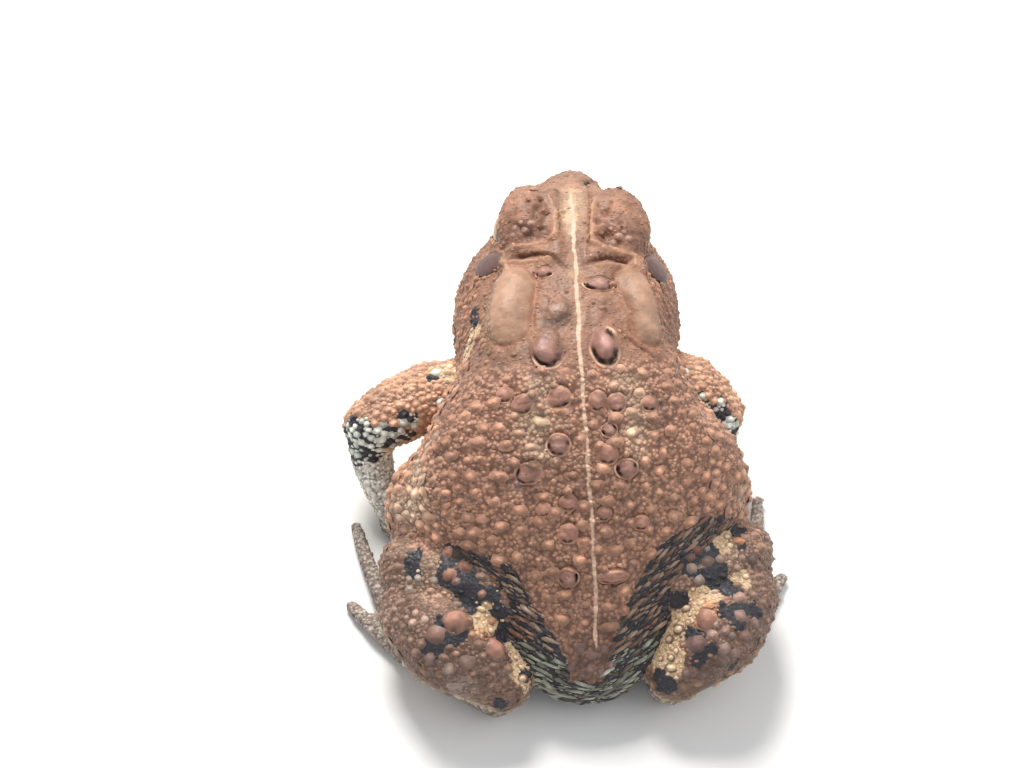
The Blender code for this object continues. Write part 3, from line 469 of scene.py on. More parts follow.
# Soft patches of the hide: a place, how far it reaches, how strong it is, its colour
PATCHES = (
    (-2.8, -21.4, 34.2, 4.0, 0.85, (154, 118, 96)), (-2.0, -16.4, 36.0, 2.4, 0.6, (176, 142, 115)),
    (-2.7, -19.6, 35.4, 1.2, 0.7, (200, 170, 138)), (-2.4, -17.8, 36.0, 1.2, 0.75, (204, 176, 144)),
    (-2.0, -16.0, 36.2, 1.25, 0.8, (204, 176, 144)), (-1.8, -14.2, 36.4, 1.2, 0.8, (204, 174, 142)),
    (-1.6, -12.4, 36.6, 1.1, 0.75, (198, 166, 136)), (-1.0, -5.0, 37.2, 1.1, 0.6, (174, 142, 118)),
    (-0.8, 1.6, 37.6, 1.2, 0.6, (174, 142, 118)), (6.0, 15.3, 33.2, 2.2, 0.85, (196, 170, 142)),
    (5.2, 11.0, 35.2, 1.7, 0.75, (190, 164, 138)), (5.6, 18.8, 31.2, 1.7, 0.8, (198, 172, 146)),
    (-6.2, 11.6, 34.8, 1.9, 0.8, (192, 164, 138)), (-7.4, 13.6, 34.0, 2.0, 0.75, (190, 160, 134)),
    (-7.4, 16.8, 32.4, 1.9, 0.8, (196, 168, 140)), (4.2, 4.0, 36.6, 1.6, 0.35, (176, 138, 114)),
    (-7.0, 19.6, 30.8, 1.4, 0.55, (190, 162, 136)), (20.9, 16.2, 22.2, 2.7, 0.8, (200, 172, 146)),
    (10.6, -0.6, 34.2, 1.6, 0.6, (182, 148, 108)), (9.8, 3.0, 33.6, 1.4, 0.5, (176, 140, 104)),
    (21.6, 19.4, 20.0, 2.5, 0.8, (196, 172, 146)), (22.4, 18.0, 17.0, 2.4, 0.7, (196, 174, 150)),
    (-22.3, 20.6, 19.7, 2.2, 0.7, (198, 166, 140)), (19.2, 12.8, 25.4, 1.9, 0.6, (204, 156, 128)),
    (3.4, 2.8, 37.2, 1.0, 0.8, (78, 56, 48)), (0.2, 0.5, 38.0, 0.8, 0.7, (88, 62, 52)),
    (2.1, 2.6, 37.8, 1.1, 0.95, (50, 38, 36)), (0.8, 2.0, 38.0, 1.0, 0.95, (50, 38, 36)),
    (1.9, 0.8, 38.0, 0.85, 0.9, (176, 146, 134)), (4.9, -1.4, 36.9, 0.8, 0.5, (150, 92, 66)),
    (5.3, 1.2, 36.7, 0.8, 0.5, (150, 92, 66)), (8.4, 21.6, 28.6, 0.9, 0.8, (70, 66, 76)),
    (6.5, 5.6, 36.0, 1.7, 0.6, (98, 74, 62)), (9.6, 6.6, 34.2, 1.9, 0.6, (100, 76, 62)),
    (-9.6, 12.8, 33.0, 1.3, 0.6, (92, 64, 54)), (-10.8, 13.2, 32.4, 1.1, 0.6, (92, 64, 54)),
    (13.0, -6.0, 29.0, 3.0, 0.6, (152, 104, 80)), (-13.6, -1.6, 30.4, 3.0, 0.6, (138, 88, 68)),
    (4.4, -12.4, 37.0, 2.2, 0.65, (104, 60, 45)), (-6.8, -10.8, 36.8, 2.2, 0.65, (104, 60, 45)),
    (5.6, -17.6, 36.6, 2.0, 0.6, (160, 116, 92)), (2.6, -15.4, 37.2, 1.6, 0.5, (112, 66, 50)),
    (-6.2, -14.2, 36.9, 1.7, 0.5, (112, 66, 50)), (-8.6, -15.4, 36.4, 2.0, 0.6, (160, 114, 90)),
    # These two patches darken the rump and the vent below it where they face away from the key light:
    # painted shade
    (-1.0, 37.0, 14.6, 5.0, 0.7, (110, 78, 68)), (-1.0, 41.0, 11.2, 3.4, 0.7, (92, 68, 60)),
    (1.0, 40.2, 11.6, 0.9, 0.9, (44, 38, 38)), (-2.4, 39.8, 12.0, 0.9, 0.9, (44, 38, 38)),
    (12.9, 34.0, 14.2, 1.4, 0.9, (210, 160, 118)), (14.2, 36.1, 15.2, 1.4, 0.9, (206, 154, 114)),
    (15.1, 36.9, 15.9, 0.8, 0.8, (190, 140, 110)), (-16.2, 35.0, 16.7, 1.6, 0.9, (204, 152, 114)),
    (-18.0, 34.0, 16.4, 1.4, 0.9, (200, 144, 108)), (-16.6, 36.3, 16.8, 1.5, 0.9, (200, 144, 108)),
    (-14.9, 37.1, 15.4, 1.3, 0.85, (200, 144, 104)), (19.8, 27.0, 17.1, 2.0, 0.8, (160, 138, 114)),
    (20.6, 23.7, 16.8, 1.8, 0.7, (188, 142, 120)), (18.6, 30.7, 15.9, 1.5, 0.8, (190, 152, 126)),
    (20.8, 30.5, 15.2, 1.3, 0.7, (186, 148, 124)), (17.0, 41.9, 10.8, 1.6, 0.9, (168, 154, 144)),
    (25.6, 31.6, 12.6, 1.8, 0.6, (160, 136, 120)), (-20.2, 28.8, 17.1, 1.8, 0.8, (166, 140, 120)),
    (-22.8, 23.0, 15.6, 1.9, 0.7, (180, 138, 118)), (-24.2, 25.4, 15.9, 1.4, 0.7, (180, 136, 116)),
    (13.2, 29.2, 18.0, 1.5, 0.7, (152, 124, 106)), (-13.6, 39.9, 13.8, 1.6, 0.6, (136, 96, 84)),
)


def linear(tone):
    """A colour in 0 to 255 as light in 0 to 1."""
    share = np.array(tone, float) / 255
    return np.where(share <= 0.04045, share / 12.92, ((share + 0.055) / 1.055) ** 2.4)


def washed(ground, tone, share):
    """Lays one tone over another, by a share for each point."""
    return ground + (linear(tone) - ground) * np.clip(share, 0, 1)[:, None]


ground = np.array([linear(TONES[kind]) for kind in kinds])
side_on = 1 - step_up(normals[:, 2], 0.25, 0.75)
ground = washed(ground, FLANK_TONE, 0.75 * side_on * (kinds == "torso"))
ground = washed(ground, FACE_TONE, 0.8 * side_on * (kinds == "head"))
ground = washed(ground, GLAND_TONE, (1 - step_up(gland, -1.0, 0.2)) * upward)
eye_near = np.min([np.linalg.norm(points - place, axis=1) for place in eye_places.values()], axis=0)
on_lid = (1 - step_up(eye_near, 4.6, 6.2)) * step_up(normals[:, 2], 0.2, 0.6)
ground = washed(ground, LID_TONE, 0.7 * on_lid)
underside = step_up(-normals[:, 2], 0.0, 0.5) * ~np.isin(kinds, ("hand", "foot", "head"))
ground = washed(ground, BELLY_TONE, underside)
ground = relax(ground, edges, everywhere, [0.5] * 8)
ground = washed(ground, RUST_TONE, 0.6 * hump(gland - 0.15, 0.42) * upward)
ground = washed(ground, CREST_TONE, 0.75 * hump(crest, 0.6) * upward)
# Painted shade: the grooves behind the crests are darkened along their line
ground = washed(ground, GROOVE_SHADE_TONE, 0.9 * hump(groove, 0.3))
for patch in PATCHES:
    reach, strength, tone = patch[3:]
    ground = washed(ground, tone, strength * hump(np.linalg.norm(points - on_hide(patch), axis=1), reach))
# Painted shade: the pits of the eyelids are darkened
for place, reach in lid_pits:
    ground = washed(ground, GROOVE_SHADE_TONE, hump(np.linalg.norm(points - place, axis=1), reach * 0.85))
ground = washed(ground, LID_RIM_TONE, 0.9 * hump(np.maximum(eye_share, ear_share) - 0.2, 0.14))
# Where the nostrils and the mouth line are painted dark: painted shade in these openings
hole = np.minimum(nostril - 0.24, np.abs(mouth) - 0.12)


def tell(mesh, name, values):
    """Keeps a value for each point of a mesh, for its finish to read."""
    if values.ndim == 2:
        kept = mesh.attributes.new(name, "FLOAT_COLOR", "POINT")
        rows = np.concatenate([values, np.ones((len(values), 1))], axis=1)
        kept.data.foreach_set("color", rows.astype(np.float32).ravel())
    else:
        kept = mesh.attributes.new(name, "FLOAT", "POINT")
        kept.data.foreach_set("value", values.astype(np.float32))


tell(skin_mesh, "ground", ground)
tell(skin_mesh, "stripe", stripe)
pebbly = 1 - 0.8 * ((kinds == "head") & (normals[:, 2] > 0.5)) - 0.12 * (gland < 0)
pebbly *= 1 - 0.6 * step_up(black, 0.0, 0.4)
tell(skin_mesh, "pebbly", relax(pebbly[:, None], edges, everywhere, [0.5] * 6)[:, 0])
tell(skin_mesh, "black", np.maximum(black, np.minimum(rump * 0.7, 2.0)))
tell(skin_mesh, "cream", cream)
tell(skin_mesh, "hole", hole)
tell(skin_mesh, "belly", underside)


class Finish:
    """A material under way: it adds nodes, joins them and keeps the shader."""

    def __init__(self, name):
        self.material = bpy.data.materials.new(name)
        self.material.use_nodes = True
        self.tree = self.material.node_tree
        self.shader = self.tree.nodes["Principled BSDF"]
        self.place = self.add("ShaderNodeTexCoord").outputs["Object"]

    def add(self, kind, **settings):
        made = self.tree.nodes.new(kind)
        for key, value in settings.items():
            setattr(made, key, value)
        return made

    def join(self, source, target):
        self.tree.links.new(source, target)

    def feed(self, socket, value):
        if isinstance(value, bpy.types.NodeSocket):
            self.join(value, socket)
        else:
            socket.default_value = value

    def told(self, name, colour=False):
        """A value kept on the mesh."""
        made = self.add("ShaderNodeAttribute", attribute_name=name)
        return made.outputs["Color" if colour else "Fac"]

    def noise(self, size, detail=2.0, rough=0.5):
        """Soft noise from 0 to 1 whose lumps are about size millimetres across."""
        made = self.add("ShaderNodeTexNoise")
        self.join(self.place, made.inputs["Vector"])
        made.inputs["Scale"].default_value = 1 / (size * MM)
        made.inputs["Detail"].default_value = detail
        made.inputs["Roughness"].default_value = rough
        return made.outputs["Fac"]

    def cells(self, size, feature="F1"):
        """Distance from the middles of pebbles about size millimetres across."""
        made = self.add("ShaderNodeTexVoronoi", feature=feature)
        self.join(self.place, made.inputs["Vector"])
        made.inputs["Scale"].default_value = 1 / (size * MM)
        return made

    def sum(self, *terms):
        """Adds up terms, each a socket or a pair of a socket and what it is multiplied by."""
        total = None
        for term in terms:
            value, share = term if isinstance(term, tuple) else (term, 1.0)
            made = self.add("ShaderNodeMath", operation="MULTIPLY_ADD")
            self.feed(made.inputs[0], value)
            made.inputs[1].default_value = share
            self.feed(made.inputs[2], 0.0 if total is None else total)
            total = made.outputs[0]
        return total

    def rise(self, value, low, high, start=0.0, end=1.0):
        """A smooth rise from start to end as a value goes from low to high."""
        made = self.add("ShaderNodeMapRange", interpolation_type="SMOOTHSTEP")
        self.feed(made.inputs["Value"], value)
        made.inputs["From Min"].default_value = low
        made.inputs["From Max"].default_value = high
        made.inputs["To Min"].default_value = start
        made.inputs["To Max"].default_value = end
        return made.outputs["Result"]

    def times(self, a, b):
        made = self.add("ShaderNodeMath", operation="MULTIPLY")
        self.feed(made.inputs[0], a)
        self.feed(made.inputs[1], b)
        return made.outputs[0]

    def blend(self, share, under, over, kind="MIX"):
        """Lays one colour over another by a share."""
        made = self.add("ShaderNodeMix", data_type="RGBA", blend_type=kind)
        self.feed(made.inputs[0], share)
        for socket, value in ((made.inputs[6], under), (made.inputs[7], over)):
            self.feed(socket, value if isinstance(value, bpy.types.NodeSocket) else (*linear(value), 1.0))
        return made.outputs[2]

    def shaded(self, colour, factor):
        """A colour times a grey value."""
        made = self.add("ShaderNodeVectorMath", operation="SCALE")
        self.feed(made.inputs[0], colour)
        self.feed(made.inputs["Scale"], factor)
        return made.outputs[0]

    def relief(self, *heights):
        """Bump from pairs of a height from 0 to 1 and its size in millimetres."""
        last = None
        for height, size in heights:
            made = self.add("ShaderNodeBump")
            made.inputs["Distance"].default_value = size * MM
            self.join(height, made.inputs["Height"])
            if last is not None:
                self.join(last, made.inputs["Normal"])
            last = made.outputs["Normal"]
        self.join(last, self.shader.inputs["Normal"])


def hide_finish(name, marked):
    """Toad hide: pebbled brown with markings where the sheet has them."""
    finish = Finish(name)
    broad, middle, fine = finish.noise(6.0, 2.0), finish.noise(1.5, 3.0), finish.noise(0.42, 2.0)
    pebbles = finish.cells(0.62).outputs["Distance"]
    colour = finish.told("ground", colour=True)
    colour = finish.shaded(colour, finish.rise(broad, 0.3, 0.7, 0.86, 1.12))
    if marked:
        pebbly = finish.told("pebbly")
        mild = finish.shaded(colour, finish.rise(middle, 0.3, 0.7, 0.88, 1.1))
        rough = finish.shaded(colour, finish.rise(middle, 0.3, 0.7, 0.68, 1.28))
        rough = finish.shaded(rough, finish.rise(fine, 0.25, 0.75, 0.78, 1.2))
        colour = finish.blend(pebbly, mild, rough)
    else:
        colour = finish.shaded(colour, finish.rise(middle, 0.3, 0.7, 0.84, 1.16))
    if marked:
        # Painted shade in the crevices between the pebbles of the hide
        crevice_shade = finish.rise(finish.sum(pebbles, (middle, 0.5)), 0.62, 0.95, 0.0, 0.7)
        colour = finish.blend(finish.times(crevice_shade, pebbly), colour, CREVICE_SHADE_TONE)
        spots = finish.rise(finish.sum(finish.noise(1.7, 1.0), (finish.told("belly"), 0.2)), 0.76, 0.88)
        colour = finish.blend(finish.times(spots, finish.told("belly")), colour, BELLY_SPOT_TONE)
        cream_edge = finish.sum(finish.told("cream"), (middle, 1.6), (fine, 0.7))
        share = finish.rise(cream_edge, 1.05, 1.4)
        pale = finish.blend(middle, CREAM_TONE, WARM_CREAM_TONE)
        pale = finish.shaded(pale, finish.rise(fine, 0.3, 0.7, 0.85, 1.1))
        colour = finish.blend(share, colour, pale)
        black_edge = finish.sum(finish.told("black"), (middle, 1.3), (fine, 0.6))
        share = finish.rise(black_edge, 0.86, 1.04)
        flecks = finish.rise(fine, 0.45, 0.75, 0.0, 0.3)
        dark = finish.blend(flecks, BLACK_TONE, BLACK_FLECK_TONE)
        colour = finish.blend(share, colour, dark)
        stripe_edge = finish.sum(finish.told("stripe"), (middle, 0.5), (fine, 0.3))
        colour = finish.blend(finish.rise(stripe_edge, 0.35, 0.55, 1.0, 0.0), colour, STRIPE_TONE)
        # Painted shade: the nostrils and the mouth line are coloured near black
        colour = finish.blend(finish.rise(finish.told("hole"), 0.0, 0.25, 1.0, 0.0), colour, PIT_SHADE_TONE)
    finish.join(colour, finish.shader.inputs["Base Color"])
    finish.join(finish.rise(middle, 0.2, 0.8, 0.42, 0.62), finish.shader.inputs["Roughness"])
    finish.shader.inputs["Specular IOR Level"].default_value = 0.42
    finish.shader.inputs["Subsurface Weight"].default_value = 0.06
    finish.shader.inputs["Subsurface Radius"].default_value = (1.0, 0.4, 0.25)
    finish.shader.inputs["Subsurface Scale"].default_value = 0.6 * MM
    dome_height = finish.rise(pebbles, 0.0, 0.8, 1.0, 0.0)
    if marked:
        finish.relief((finish.times(dome_height, pebbly), 0.2), (middle, 0.14), (fine, 0.06))
    else:
        finish.relief((middle, 0.06), (fine, 0.06))
    return finish.material


hide = hide_finish("hide", True)
nub_hide = hide_finish("nub_hide", False)
skin_mesh.materials.clear()
skin_mesh.materials.append(hide)
skin_mesh.polygons.foreach_set("use_smooth", np.ones(len(skin_mesh.polygons), bool))
flesh = [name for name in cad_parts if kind_of(name) not in ("eye", "tympanum")]
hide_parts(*flesh)
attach(skin, "root")

# Large warts of the back and shanks. Each is a smooth dome of gland tissue over a hollow of the
# hide. Some stand in pits, painted dark as shade, with a thin raised lip, the rest sink into the hide all
# round.
# Place x and y, half width, half length, height, then the pits' bearings with their depths.
LARGE_WARTS = (
    (4.3, 6.8, 1.5, 2.0, 0.6, ((205, 1.0), (240, 1.0), (285, 0.7), (320, 0.55))),
    (-3.8, 6.9, 1.6, 2.3, 0.65, ((50, 0.9), (200, 1.0), (240, 1.0), (290, 0.9), (325, 0.8))),
    (2.8, -5.7, 1.0, 0.75, 0.5, ((120, 0.4), (190, 0.7), (320, 1.0))),
    (-4.3, -3.1, 1.75, 0.85, 0.55, ((10, 1.0), (190, 1.0), (225, 1.0), (345, 0.8))),
    (7.4, 12.9, 1.3, 1.1, 0.6, ((245, 0.6), (285, 0.6))),
    (2.6, 12.7, 1.3, 1.2, 0.7, ((245, 0.62), (285, 0.66))),
    (-2.4, 13.5, 1.05, 1.1, 0.6, ((245, 0.62), (285, 0.66))),
    (-4.9, 13.7, 1.1, 1.1, 0.55, ((245, 0.62), (285, 0.66))),
    (3.1, 18.1, 1.3, 1.2, 0.75, ((175, 0.8), (225, 0.6), (270, 0.6), (0, 0.6))),
    (-3.7, 16.9, 0.9, 0.8, 0.45, ((30, 1.0), (200, 1.0), (150, 0.5), (270, 0.4))),
    (-3.4, 19.4, 1.2, 1.15, 0.7, ((245, 0.66), (290, 0.66))),
    (7.2, 20.7, 1.25, 1.15, 0.7, ((130, 0.9), (200, 0.8), (260, 0.5))),
    (-5.8, 21.1, 1.25, 1.1, 0.65, ((180, 1.0), (25, 0.7), (215, 0.8))),
    (2.1, 24.3, 1.0, 0.95, 0.55, ((245, 0.6), (285, 0.6))),
    (2.3, 27.3, 1.15, 1.05, 0.6, ((240, 0.6), (280, 0.6))),
    (-2.6, 25.6, 0.9, 0.8, 0.45, ((240, 0.6), (280, 0.6))),
    (2.4, 31.6, 1.1, 1.1, 0.65, ((0, 1.0), (20, 0.8), (200, 0.5), (250, 0.4))),
    (-3.6, 32.0, 1.9, 0.8, 0.5, ((240, 0.6), (285, 0.6))),
    (9.6, 11.2, 1.0, 0.9, 0.5, ((250, 0.55), (285, 0.55))),
    (-9.4, 13.6, 1.1, 0.9, 0.55, ((245, 0.66), (290, 0.66))),
    (5.4, 24.6, 0.9, 0.8, 0.5, ((250, 0.55), (285, 0.55))),
    (-7.6, 26.4, 1.0, 0.85, 0.5, ((245, 0.62), (285, 0.66))),
    (17.5, 35.2, 1.5, 1.4, 0.7, ((150, 0.3), (250, 0.5))),
    (12.4, 38.1, 1.3, 1.2, 0.55, ((140, 0.5),)),
    (-15.6, 37.2, 1.2, 1.2, 0.6, ((200, 0.4),)),
)
WART_SPOKES = 36
WART_RINGS = 13
WART_REACH = 1.55
SINGLE_PITS = 2
HOLLOW_DEPTH = 0.8
PIT_SPREAD_DEG = 27.0
PIT_DEPTH = 0.5
PIT_SHARE = 1.02
LIP_HEIGHT = 0.13
LIP_SHARE = 1.24
WART_TONES = ((148, 108, 95), (166, 120, 99))
WART_HIGHLIGHT_TONE = (196, 170, 166)
LIP_TONE = (232, 186, 156)


def beside(point):
    """A point in scene metres from one in the toad's millimetres."""
    return Vector(np.array(point) - FORWARD) * MM


def hide_under(x, y):
    """The hide straight below (x, y), and its normal."""
    start = beside((x, y, 90.0))
    place, normal, _, _ = bare_hide.ray_cast(start, Vector((0, 0, -1)))
    return place, normal


def rising(value, low, high):
    """The smooth rise of one number."""
    return float(step_up(np.array(value), low, high))


def wart_rise(share, pit):
    """Height of a wart at a share of its radius, as parts of its height and of a millimetre."""
    dome = math.cos(min(share, 1.0) * math.pi / 2) ** 0.7
    soft = math.cos(min(share / 1.3, 1.0) * math.pi / 2) ** 1.5
    dome = soft + (dome - soft) * pit
    valley = -PIT_DEPTH * pit * math.exp(-(((share - PIT_SHARE) / 0.12) ** 2))
    lip = LIP_HEIGHT * pit * math.exp(-(((share - LIP_SHARE) / 0.1) ** 2))
    sunk = 1.16 + 0.16 * min(pit * 2, 1.0)
    skirt = 0.05 - 0.1 * rising(share, sunk - 0.12, sunk + 0.05) - 0.5 * rising(share, sunk, WART_REACH)
    return dome, valley + lip + skirt


def next_row(bm, rim):
    """Draws a rim out into one more row, and gives the row's points and its new rim."""
    grown = bmesh.ops.extrude_edge_only(bm, edges=rim)["geom"]
    row = [v for v in grown if isinstance(v, bmesh.types.BMVert)]
    return row, [e for e in grown if isinstance(e, bmesh.types.BMEdge) and e.is_boundary]


def large_wart(bm, tones, x, y, half_width, half_length, height, pits):
    """Lays one wart on the hide at (x, y) and notes the tones of its points."""
    centre, normal = hide_under(x, y)
    lengthways = (Vector((0, 1, 0)) - normal * normal.y).normalized()
    across = lengthways.cross(normal)
    first = 1 / WART_RINGS
    disc = bmesh.ops.create_circle(bm, cap_ends=True, cap_tris=True, segments=WART_SPOKES, radius=first)
    rim = [edge for edge in {e for v in disc["verts"] for e in v.link_edges} if edge.is_boundary]
    rows = [disc["verts"]]
    for ring in range(2, WART_RINGS + 1):
        row, rim = next_row(bm, rim)
        bmesh.ops.scale(bm, vec=(ring / (ring - 1),) * 3, verts=row)
        rows.append(row)
    inner, outer = (linear(tone) for tone in WART_TONES)
    fleshy = outer + (inner - outer) * max([depth for _, depth in pits], default=0.0)
    for vertex in {v for row in rows for v in row}:
        flat = Vector((vertex.co.x, vertex.co.y))
        share = flat.length * WART_REACH
        bearing = math.degrees(math.atan2(flat.y, flat.x)) % 360
        pit = 0.3 if len(pits) > SINGLE_PITS else 0.0
        for angle, depth in pits:
            off = abs((bearing - angle) % 360 - 180)
            pit = max(pit, depth * math.exp(-((off / PIT_SPREAD_DEG) ** 2)))
        seed = Vector((x, y, 0)) + Vector((flat.x, flat.y, 0)) * 1.6
        wobble = 1 + 0.07 * noise.noise(seed)
        spread = across * flat.x * half_width + lengthways * flat.y * half_length
        spread = spread * WART_REACH * wobble * MM
        hit, hit_normal, _, _ = bare_hide.ray_cast(centre + spread + normal * 4 * MM, -normal)
        if hit is None:
            hit, hit_normal = centre + spread, normal
        dome, fixed = wart_rise(share, pit)
        rough = 0.07 * noise.noise(seed * 1.7) * rising(share, 0.1, 0.4)
        lean = (normal * 0.7 + hit_normal * 0.3).normalized()
        vertex.co = hit + lean * (dome * height + fixed + rough) * MM
        # Lighter towards the top of the dome, in part the wart's own paler middle and in part painted
        # highlight
        near_tip = 0.86 + 0.3 * dome + 0.3 * noise.noise(seed * 1.9)
        # Painted highlight: a pale spot near the middle of the warts that have many pits
        painted_highlight = math.exp(-(((flat.x + 0.1) / 0.24) ** 2) - (((flat.y + 0.08) / 0.28) ** 2))
        painted_highlight = painted_highlight if len(pits) > 3 else 0.0
        tone = fleshy * near_tip + linear(WART_HIGHLIGHT_TONE) * 0.28 * painted_highlight
        bare = rising(share, 0.95, 1.2)
        # Painted shade: the pits round the wart are darkened
        dark = rising(pit, 0.25, 0.75) * rising(share, 0.66, 0.86) * (1 - rising(share, 1.08, 1.18))
        pale = rising(pit, 0.3, 0.85) * (1.0 if len(pits) > SINGLE_PITS else 0.35)
        lip = pale * math.exp(-(((share - 1.25) / 0.08) ** 2))
        tones.append((vertex, tone, bare, dark, lip))


def into_object(name, bm, finish, replaced=()):
    """Turns a bmesh into a piece that rides on the body."""
    bmesh.ops.recalc_face_normals(bm, faces=bm.faces)
    mesh = bpy.data.meshes.new(name)
    bm.to_mesh(mesh)
    bm.free()
    mesh.polygons.foreach_set("use_smooth", np.ones(len(mesh.polygons), bool))
    mesh.materials.append(finish)
    made = bpy.data.objects.new(name, mesh)
    bpy.context.scene.collection.objects.link(made)
    if replaced:
        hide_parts(*replaced)
    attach(made, "root")
    return made


wart_bm = bmesh.new()
wart_tones = []
for row in LARGE_WARTS:
    large_wart(wart_bm, wart_tones, *row)
wart_bm.verts.index_update()
wart_ground = np.zeros((len(wart_bm.verts), 3))
for vertex, tone, bare, dark, lip in wart_tones:
    below = ground[skin_mesh.polygons[bare_hide.find_nearest(vertex.co)[2]].vertices[0]]
    kept = tone + (below - tone) * bare
    kept = kept + (linear(LIP_TONE) - kept) * lip
    # Painted shade laid into the pits round the wart
    wart_ground[vertex.index] = kept + (linear(PIT_SHADE_TONE) - kept) * dark
warts = into_object("large_warts", wart_bm, nub_hide)
tell(warts.data, "ground", np.clip(wart_ground, 0, 1))

hollow = np.zeros(len(points))
for x, y, half_width, half_length, height, pits in LARGE_WARTS:
    centre, normal = hide_under(x, y)
    off = points - (np.array(centre) / MM + FORWARD)
    spread = np.sqrt((off[:, 0] / half_width) ** 2 + (off[:, 1] / half_length) ** 2 + (off[:, 2] / 2.5) ** 2)
    hollow = np.maximum(hollow, 1 - step_up(spread, 0.9, 1.34 if len(pits) > SINGLE_PITS else 1.2))
place_points(skin_mesh, points - normals * (HOLLOW_DEPTH * hollow)[:, None])

# Small warts. The hide is set all over with low rounded nubs that rise out of it, largest on the
# flanks and shanks and drawn out into streaks on the black of the rump. Each is lighter at the tip,
# in part a pale tip and in part painted highlight, and has painted shade at its root, most on the
# side towards the tail.
NUB_SEED = 41
NUB_TRIES = 60000
LOWEST_NUB_SLOPE = -0.35
CROWN_SLOPE = 0.62
CHEEK_NUB_SHARE = 0.12
NUB_CLEAR_OF_EYE = 4.7
# For each part: smallest and largest nub, smallest and largest granule, share of tries for nubs
NUB_SIZES = {
    "torso": (0.2, 0.5, 0.08, 0.17, 0.2), "head": (0.2, 0.36, 0.08, 0.16, 0.02),
    "upper_arm": (0.24, 0.4, 0.12, 0.22, 0.2), "thigh": (0.2, 0.38, 0.09, 0.18, 0.12),
    "shank": (0.2, 0.42, 0.09, 0.18, 0.12), "forearm": (0.2, 0.32, 0.12, 0.2, 0.05),
    "jaw": (0.22, 0.36, 0.12, 0.2, 0.03), "foot": (0.2, 0.3, 0.12, 0.18, 0.03),
    "hand": (0.18, 0.26, 0.12, 0.18, 0.03),
}
# Free hide kept round each nub, then round each granule
NUB_GAPS = {
    "torso": (0.56, 0.4), "head": (0.3, 0.16), "upper_arm": (0.1, 0.08), "thigh": (0.55, 0.34),
    "shank": (0.55, 0.34), "forearm": (0.2, 0.1), "jaw": (0.2, 0.1), "foot": (0.2, 0.15),
    "hand": (0.2, 0.15),
}
# More of it along the spine, for nubs and for granules
SPINE_GAP = (0.85, 0.7)
SPINE_SIDES = (9.0, 18.0)
STREAK_GAP = 0.06
